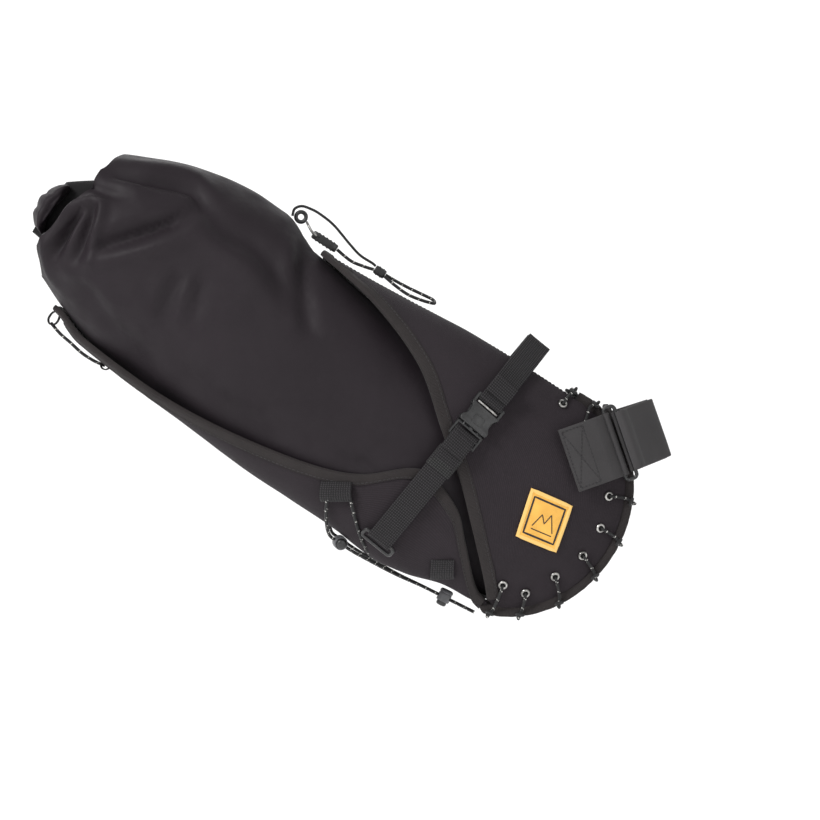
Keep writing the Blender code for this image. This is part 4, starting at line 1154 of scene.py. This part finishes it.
MALE_BAR = 5.0
FEMALE_BAR = 36.7
BAR_RADIUS = 1.9
WEBBING_WIDTH = 20
WEBBING_THICKNESS = 1.3
BAR_EYE = BAR_RADIUS + GAP + WEBBING_THICKNESS / 2
RAIL_W = 13
RAIL_Y = 24
RAIL_RADIUS = 3.5
BUCKLE_LOW_W = -79
BUCKLE_HIGH_W = -41
BUCKLE_LIFT = 7.6
LOWER_RING = (-176, 64.5)
STRAP_LEAN = 0.107


def strap_u(w):
    """The hoop strap leans slightly: u along its centre line at height w."""
    return 105 + STRAP_LEAN * (12 - w)


def strap_at(spot, side):
    w, y = spot
    return at(strap_u(w), w, side * y)


def strap_across(side):
    widening = (wall(128, -85) - wall(104, -85)) / 24
    return (TAIL + UP * STRAP_LEAN + ACROSS * side * widening).normalized()


def taut(points):
    """The outer hull of points (w, y) that are in order of w, as a taut strap lies on them."""
    hull = []
    for p in points:
        while len(hull) > 1:
            (aw, ay), (bw, by) = hull[-2:]
            if (bw - aw) * (p[1] - ay) - (by - ay) * (p[0] - aw) < 0:
                break
            hull.pop()
        hull.append(p)
    return hull


def surface(start, end, lift, steps=14):
    """Points (w, y) over the shell under the strap, raised along its outward direction."""
    points = []
    for i in range(steps + 1):
        w = start + (end - start) * i / steps
        u = strap_u(w)
        slope = (wall(u, w + 0.8) - wall(u, w - 0.8)) / 1.6
        scale = 1 / hypot(1, slope)
        points.append((w - slope * scale * lift, wall(u, w) + scale * lift))
    return points


def buckle_frame(side):
    """Local axes of the buckle: x along the strap towards the rail, y across it, z outward."""
    low = surface(BUCKLE_LOW_W, BUCKLE_LOW_W + 1, BUCKLE_LIFT, 1)[0]
    high = surface(BUCKLE_HIGH_W, BUCKLE_HIGH_W + 1, BUCKLE_LIFT, 1)[0]
    start = strap_at(low, side)
    x_axis = (strap_at(high, side) - start).normalized()
    z_axis = turned_to(x_axis.cross(strap_across(side)).normalized(), ACROSS * side)
    return frame_at(start, x_axis, z_axis.cross(x_axis), z_axis)


def bar_turn(place, x, start, end, steps, side):
    """Points (w, y) round a buckle bar at x; angles in degrees from x towards the outward side."""
    spots = [place @ Vector((a, 0, b)) for a, b in arc((x, 0), BAR_EYE, start, end, steps)]
    return [(spot.dot(UP), side * spot.y) for spot in spots]


def rail_arc(radius, angles):
    return [(RAIL_W - radius * cos(radians(a)), RAIL_Y + radius * sin(radians(a))) for a in angles]


def upper_route(side, place):
    """Loop from the female buckle round the saddle rail and back, as (w, y)."""
    rail = RAIL_RADIUS + 1.2 + WEBBING_THICKNESS / 2
    lift = 2.4 + WEBBING_THICKNESS / 2
    shoulder = surface(BUCKLE_HIGH_W + 12, -6.5, lift, 8)
    inner = taut(bar_turn(place, FEMALE_BAR, -90, -90, 1, side)[:1] + shoulder) + rail_arc(rail, (20, -10))
    over_it = surface(BUCKLE_HIGH_W + 12, -7, lift + WEBBING_THICKNESS + 1.0, 8)
    outer = bar_turn(place, FEMALE_BAR, 90, 90, 1, side)[:1] + over_it + rail_arc(rail, range(140, 181, 10))
    bar = bar_turn(place, FEMALE_BAR, 120, 240, 5, side)
    return inner + rail_arc(rail, range(-35, -181, -24)) + taut(outer)[::-1][1:] + bar


def lower_route(side, place):
    """Webbing from the cradle's ring up to the male buckle, with its tail folded back under."""
    lift = 2.8 + WEBBING_THICKNESS / 2
    bend = arc(LOWER_RING, RING_WIRE / 2 + GAP + WEBBING_THICKNESS / 2, -60, -240, 6)
    guide = place @ Vector((-2, 0, 2.6))
    outer = taut(bend[-1:] + surface(-165, -100, lift + WEBBING_THICKNESS + GAP, 8)
                 + [(guide.dot(UP), side * guide.y)] + bar_turn(place, MALE_BAR, 90, 90, 1, side)[:1])
    bar = bar_turn(place, MALE_BAR, 60, -90, 5, side)
    return surface(-150, -162, lift, 2) + bend + outer[1:] + bar + surface(-100, -110, lift, 2)


def dense(path, spacing, closed=False):
    """Extra points on the straight stretches of a path, leaving its bends as they are."""
    found = []
    ends = path[1:] + (path[:1] if closed else [])
    for a, b in zip(path, ends):
        parts = max(1, int((b - a).length / spacing))
        found += [a.lerp(b, k / parts) for k in range(parts)]
    return found if closed else found + path[-1:]


def rounded(path, closed=False):
    """The path with its corners eased."""
    for _ in range(2):
        last = len(path) - 1
        path = [p if not closed and i in (0, last) else (path[i - 1] + p * 2 + path[(i + 1) % len(path)]) / 4
                for i, p in enumerate(path)]
    return path


def male_shapes(place):
    """Ladder, centre prong and two sprung arms of a side-release buckle."""
    shapes = [block(place, (12.6, 2.0, 2.6), (4.8, 11.4 * s, 0), 0.7) for s in (-1, 1)]
    for x, wide in ((-0.6, 1.9), (5.0, 2.0), (10.4, 2.2)):
        shapes.append(block(place, (wide, 23, 2.4), (x, 0, 0), 0.8))
    shapes.append(moulded(place, [(10, 1.9), (14, 1.6), (26, 1.4), (27.5, 0.8)], -1.3, 1.3, 0.4))
    for s in (-1, 1):
        arm = [place @ Vector((x, s * y, 0))
               for x, y in ((10, 6.4), (14, 7.0), (18, 7.6), (22, 8.8), (24.5, 9.2))]
        shapes.append(sweep(spline(arm, 12), place.col[2].to_3d().normalized(), band(3.0, 2.0, 2)))
        head = place @ Matrix.Translation((0, s * 8.3, 0))
        shapes.append(moulded(head, [(19.4, 1.4), (21, 2.5), (24.5, 2.6), (26.2, 1.0)], -1.7, 1.7, 0.5))
    return shapes


def female_shapes(place):
    """Shell of a side-release buckle with a waist, and the bar for its loop."""
    body = [(12, 11.2), (12.8, 12.4), (14.4, 13.0), (16.6, 12.6), (18.4, 10.9), (21, 10.1), (24, 10.2),
            (26.5, 11.2), (28.5, 12.6), (29.9, 12.9)]
    shapes = [moulded(place, body, 2.1, 4.0, 0.8), moulded(place, body, -4.0, -2.1, 0.8)]
    shapes += [block(place, (3.4, 24.6, 5.0), (28.4, 0, 0), 0.7)]
    for s in (-1, 1):
        shapes.append(block(place, (3.6, 1.9, 6.0), (14.0, 11.7 * s, 0), 0.8))
        shapes.append(block(place, (9.6, 2.3, 4.4), (33.4, 11.6 * s, 0), 0.9))
    shapes.append(block(place, (3.4, 23, 3.4), (36.7, 0, 0), 1.4))
    shapes.append(moulded(place, [(15.5, 3.6), (16.4, 4.6), (22.0, 4.6), (23.0, 3.6)], 3.6, 4.5, 0.4))
    return shapes


def rail_strap(word, side):
    place = buckle_frame(side)
    across = strap_across(side)
    body = f"{word}_rail_strap"
    build(f"buckle_prong_{word}", male_shapes(place), "black_plastic", [f"buckle_male_{word}"])
    build(f"buckle_shell_{word}", female_shapes(place), "black_plastic", [f"buckle_female_{word}"], body)
    build(f"buckle_bar_{word}", block(place, (1.5, 18.5, 1.2), (31.6, 0, 2.4), 0.4), "nickel", body=body)
    for piece, route, closed, start, end, owner in (("upper", upper_route, True, 42, 57, body),
                                                    ("lower", lower_route, False, 2, -13, "holster")):
        path = rounded(dense([strap_at(p, side) for p in route(side, place)], 2.0, closed), closed)
        web = band(WEBBING_WIDTH, WEBBING_THICKNESS, 10)
        name = f"{piece}_strap_{word}"
        build(f"{name}_web", sweep(path, across, web, closed), "webbing", [name], owner)
        fold = [place @ Vector((x, 0, 3.3 - 0.35 * smooth((k - 8) / 4)))
                for k, x in enumerate(np.linspace(start, end, 13))]
        build(f"{name}_end", sweep(fold, across, band(WEBBING_WIDTH - 0.3, 1.1, 10)), "webbing", body=owner)
    centre = strap_at(LOWER_RING, side)
    inward = (strap_at((-184, 57), side) - centre).normalized()
    loop = [centre + inward * (b + 3.6) + across * a for a, b in round_box(13.5, 3.9, 2.2)]
    build(f"lower_ring_{word}_wire", tube(loop, RING_WIRE / 2, closed=True), "black_plastic",
          [f"lower_ring_{word}"])
    base = strap_at(surface(-99, -98, 2.0, 1)[0], side)
    up_way = (strap_at(surface(-95, -94, 2.0, 1)[0], side) - base).normalized()
    outward = turned_to(up_way.cross(across).normalized(), ACROSS * side)
    path = []
    for angle in range(0, 360, 12):
        a = radians(angle)
        x = 10.6 * np.sign(cos(a)) * abs(cos(a)) ** 0.35
        z = 2.6 * (1 + np.sign(sin(a)) * abs(sin(a)) ** 0.5)
        path.append(base + across * float(x) + outward * float(z))
    build(f"strap_keeper_{word}", sweep(path, up_way, band(18, 0.7, 4), True), "elastic_tape")


# ---------------------------------------------------------------- hook and cords

TOP_CORD = [(275.6, -6.5, 0), (268, -7.6, 0.5), (260, -8, 0), (250, -6, -0.8), (242.9, -4, -1)]
PULL_LOOP = [(233.1, -4, -2.4), (222, -5.5, -4), (210, -6, -6), (199, -4, -7), (191, -1.5, -5),
             (189, 0, 0), (192, 1.5, 5), (201, 0.5, 6.5), (212, -1, 5), (223, -2, 3.5), (233.1, -2.5, 2.4)]
TAIL_CORD = [(431.5, -176, 0), (421, -179, -2), (410, -180.5, -4), (398, -182.5, -3),
             (387, -182.5, -1), (378, -181, 0)]
UNDER_CORD_HALF = [(32, -185.4, -1.6), (43, -186.6, -1.6), (58, -188.3, -1.6), (77, -190.4, -1.6),
                   (100, -193.6, -12), (126, -195.4, -29), (139, -196, -35.2), (149, -195.5, -38),
                   (159, -195, -40.8), (167, -187, -54), (175, -173.5, -65.5), (177, -164, -70.5),
                   (172, -159.6, -72.5), (164, -160, -72), (157, -166, -69.5), (147, -175.5, -61.5),
                   (136, -184.5, -52.5), (124, -191, -38), (114, -191.4, -18)]
RETAINER = [(319, -3.5, -2), (320.5, 2, -2), (317, 6.8, -2), (310, 8.8, -2), (302, 9.4, -2),
            (288, 8, -2), (270, 2.5, -2), (258, -0.5, -2), (247, -0.5, -2), (243.2, -1, -2)]


def free_cord(node, route, count):
    line = spline([at(*spot) for spot in route], count)
    made = build(f"{node}_line", tube(line, CORD_RADIUS, ends=False), "flecked_cord", [node], sharp=70)


def cords():
    free_cord("top_cord", TOP_CORD, 30)
    free_cord("pull_loop", PULL_LOOP, 90)
    free_cord("tail_cord", TAIL_CORD, 50)
    under = UNDER_CORD_HALF + [(111, -191.4, 0)] + [(u, w, -y) for u, w, y in UNDER_CORD_HALF[::-1]]
    free_cord("under_cord", under, 300)
    path = spline([at(*spot) for spot in RETAINER], 80)
    build("retainer_tape", sweep(path, ACROSS, band(4, 2.0, 4)), "elastic_tape", ["retainer_strap"])


def tab(corners, side, tunnel):
    """A folded fabric loop sewn on the cradle. A cord runs through it along its first side."""
    steps = 12
    first, second, third, fourth = corners
    outer = []
    inner = []
    for r in range(steps + 1):
        outer.append([])
        inner.append([])
        for c in range(steps + 1):
            b = c / steps
            u, w = first.lerp(second, r / steps).lerp(fourth.lerp(third, r / steps), b)
            lift = 0.7 + tunnel * sin(pi * b) ** 0.8 + 0.15 * wave((u, w, 0), 8, 61)
            outer[-1].append(on_wall(u, w, side, lift + 1.2)[0])
            inner[-1].append(on_wall(u, w, side, lift)[0])
    return slab(outer, inner)


def tabs():
    shapes = []
    runs = []
    for side in SIDES.values():
        for corners, tunnel in ((((187, -162), (167, -150), (158, -162), (178, -175)), 5.2),
                                (((84, -167), (69, -158), (61, -170), (76, -180)), 2.2)):
            a, b, c, d = [Vector(p) for p in corners]
            shapes.append(tab((a, b, c, d), side, tunnel))
            for share in (0.06, 0.94):
                start = a.lerp(d, share)
                runs.append([on_wall(*start.lerp(b.lerp(c, share), k / 8), side, 2.6) for k in range(1, 8)])
    build("cord_tabs", shapes, "webbing")
    build("cord_tab_stitching", stitched(runs, 2.2, 1.8, 0.3), "thread", slot="webbing")
    tip_loop = [(432.5, -165), (435, -169), (434.8, -174.6), (431.8, -177.1), (428.6, -175.4),
                (427.8, -171.5), (429, -167)]
    front_loop = [(378 + 3.4 * cos(a), 3 * sin(a) - 180.9) for a in np.linspace(-1.2 * pi, 0.2 * pi, 9)]
    ends = []
    for route in (tip_loop, front_loop):
        ends.append(sweep(spline([at(*spot) for spot in route], 24), ACROSS, band(10, 1.0, 4)))
    build("tail_cord_tabs", ends, "webbing")


def hook():
    grip = frame_at(at(287, -6.5, 0), TAIL, ACROSS, TAIL.cross(ACROSS))
    body = [(-11, 2.6), (-10, 3.6), (-7, 4.0), (7, 4.0), (9.6, 3.6), (11, 2.8)]
    shapes = [moulded(grip, body, -3.2, 3.2, 1.0)]
    shapes += [block(grip, (1.7, 8.6, 7.4), (-7.2 + 3.4 * i, 0, 0), 0.7) for i in range(5)]
    build("hook_grip", shapes, "black_plastic", ["hook_body"])
    half = [(0, 0, 5.6), (4, 0.8, 5.6), (8.5, 3, 4.5), (11, 4.5, 2.2)]
    bail = [(u, w, -y) for u, w, y in half] + [(11.6, 5, 0)] + half[::-1]
    path = spline([at(295 + u, w - 6.5, y) for u, w, y in bail], 60)
    build("hook_bail_wire", tube(path, 1.0), "nickel", ["hook_bail"], "hook_wire")
    ring = [at(*spot) for spot in arc((313, -0.5), 3.9, 0, 360, 32)[:-1]]
    build("bag_ring_wire", tube(ring, 1.6, closed=True), "black_plastic", ["bag_ring"], "dry_bag")
    slider = frame_at(at(238, -3, 0), TAIL, ACROSS, TAIL.cross(ACROSS))
    shapes = [moulded(slider, [(-4.6, 3.6), (-3.6, 4.8), (3.6, 4.8), (4.6, 3.6)], -3.4, 3.4, 0.9)]
    shapes += [block(slider, (1.4, 10.6, 7.6), (x, 0, 0), 0.6) for x in (-1.8, 1.8)]
    build("cord_slider_shell", shapes, "black_plastic", ["cord_slider"])


def cord_lock(name, spot, way, push_way, body, push):
    """Ribbed barrel with a hollow top, and the domed push button that stands in it."""
    place = frame_at(spot - push_way * 1.2, way, push_way.cross(way), push_way)
    barrel = [(0.02, -5.2), (3.6, -5.2), (4.7, -4.8), (5.3, -3.9), (5.3, -2.6), (5.0, -2.3), (5.0, -1.7),
              (5.3, -1.4), (5.3, 3.9), (5.0, 4.7), (4.4, 4.9), (4.35, 3.0), (4.35, -2.5), (0.02, -2.5)]
    build(f"{name}_barrel", turned(place, barrel), "grey_plastic", [f"{name}_body"], body)
    button = [(0.02, 0.3), (4.0, 0.3), (4.0, 6.8), (3.6, 7.7), (2.6, 8.2), (0.02, 8.4)]
    build(f"{name}_plunger", turned(place, button), "black_plastic", [f"{name}_button"], push)


def cord_locks():
    rear_way = (at(159, -195, -40.8) - at(139, -196, -35.2)).normalized()
    rear_push = (rear_way * rear_way.y - ACROSS).normalized()
    cord_lock("rear_cord_lock", at(149, -195.5, -38), rear_way, rear_push, "holster", "rear_push")
    front_way = (at(77, -190.4, 0) - at(43, -186.6, 0)).normalized()
    front_push = turned_to(front_way.cross(ACROSS), -UP)
    cord_lock("front_cord_lock", at(58, -188.3, 0), front_way, front_push, "front_lock", "front_push")


# ---------------------------------------------------------------- studio

def studio():
    white = Finish("backdrop", (0.93, 0.93, 0.93), 0.9, specular=0.1)
    white.shader.inputs["Emission Color"].default_value = (1, 1, 1, 1)
    white.shader.inputs["Emission Strength"].default_value = 0.22
    white.shade(white.texture("TexNoise", 3.0), (0.95, 0.95, 0.95))
    floor = -0.42
    bend = [(2.2 + 1.2 * sin(a), floor + 1.2 - 1.2 * cos(a)) for a in np.linspace(0.1, pi / 2, 12)]
    profile = [(-6, floor), (2.2, floor)] + bend + [(3.4, 5)]
    mesh = bpy.data.meshes.new("backdrop")
    points = [(x, y, z) for y, z in profile for x in (-7, 7)]
    mesh.from_pydata(points, [], [(k, k + 1, k + 3, k + 2) for k in range(0, len(points) - 2, 2)])
    mesh.shade_smooth()
    mesh.materials.append(white.made)
    sweep_floor = bpy.data.objects.new("backdrop", mesh)
    bpy.context.collection.objects.link(sweep_floor)
    scene = bpy.context.scene
    scene.view_settings.view_transform = "Standard"
    world = bpy.data.worlds.new("studio")
    world.use_nodes = True
    world.node_tree.nodes["Background"].inputs[0].default_value = (1, 1, 1, 1)
    world.node_tree.nodes["Background"].inputs[1].default_value = 0.6
    scene.world = world
    for name, place, size, power, aim in (("key", (-1.7, -1.7, 1.5), 0.9, 60, (-0.2, 0, 0)),
                                          ("fill", (1.2, -2.2, 0.5), 1.6, 10, (-0.1, 0, 0)),
                                          ("rim", (-0.6, 1.4, 1.4), 1.2, 6, (-0.2, 0, 0.1))):
        data = bpy.data.lights.new(name, "AREA")
        data.size = size
        data.energy = power
        lamp = bpy.data.objects.new(name, data)
        lamp.location = place
        lamp.rotation_euler = (Vector(aim) - Vector(place)).to_track_quat("-Z", "Y").to_euler()
        bpy.context.collection.objects.link(lamp)
    lens = bpy.data.cameras.new("camera")
    lens.lens = 168.9
    lens.sensor_width = 36
    lens.clip_end = 50
    camera = bpy.data.objects.new("camera", lens)
    camera.location = (-0.1778, -3.0, 0.0195)
    camera.rotation_euler = (pi / 2, 0, 0)
    bpy.context.collection.objects.link(camera)
    scene.camera = camera


def main():
    studio()
    make_fabrics()
    make_cords()
    make_hard_finishes()
    cords()
    holster()
    cradle()
    dry_bag()
    roll_closure()
    for word, side in SIDES.items():
        eyelets(word, side)
        lacing(word, side)
        rail_strap(word, side)
    label()
    post_strap()
    grip_pad()
    hook()
    tabs()
    cord_locks()


main()
bpy.context.view_layer.update()
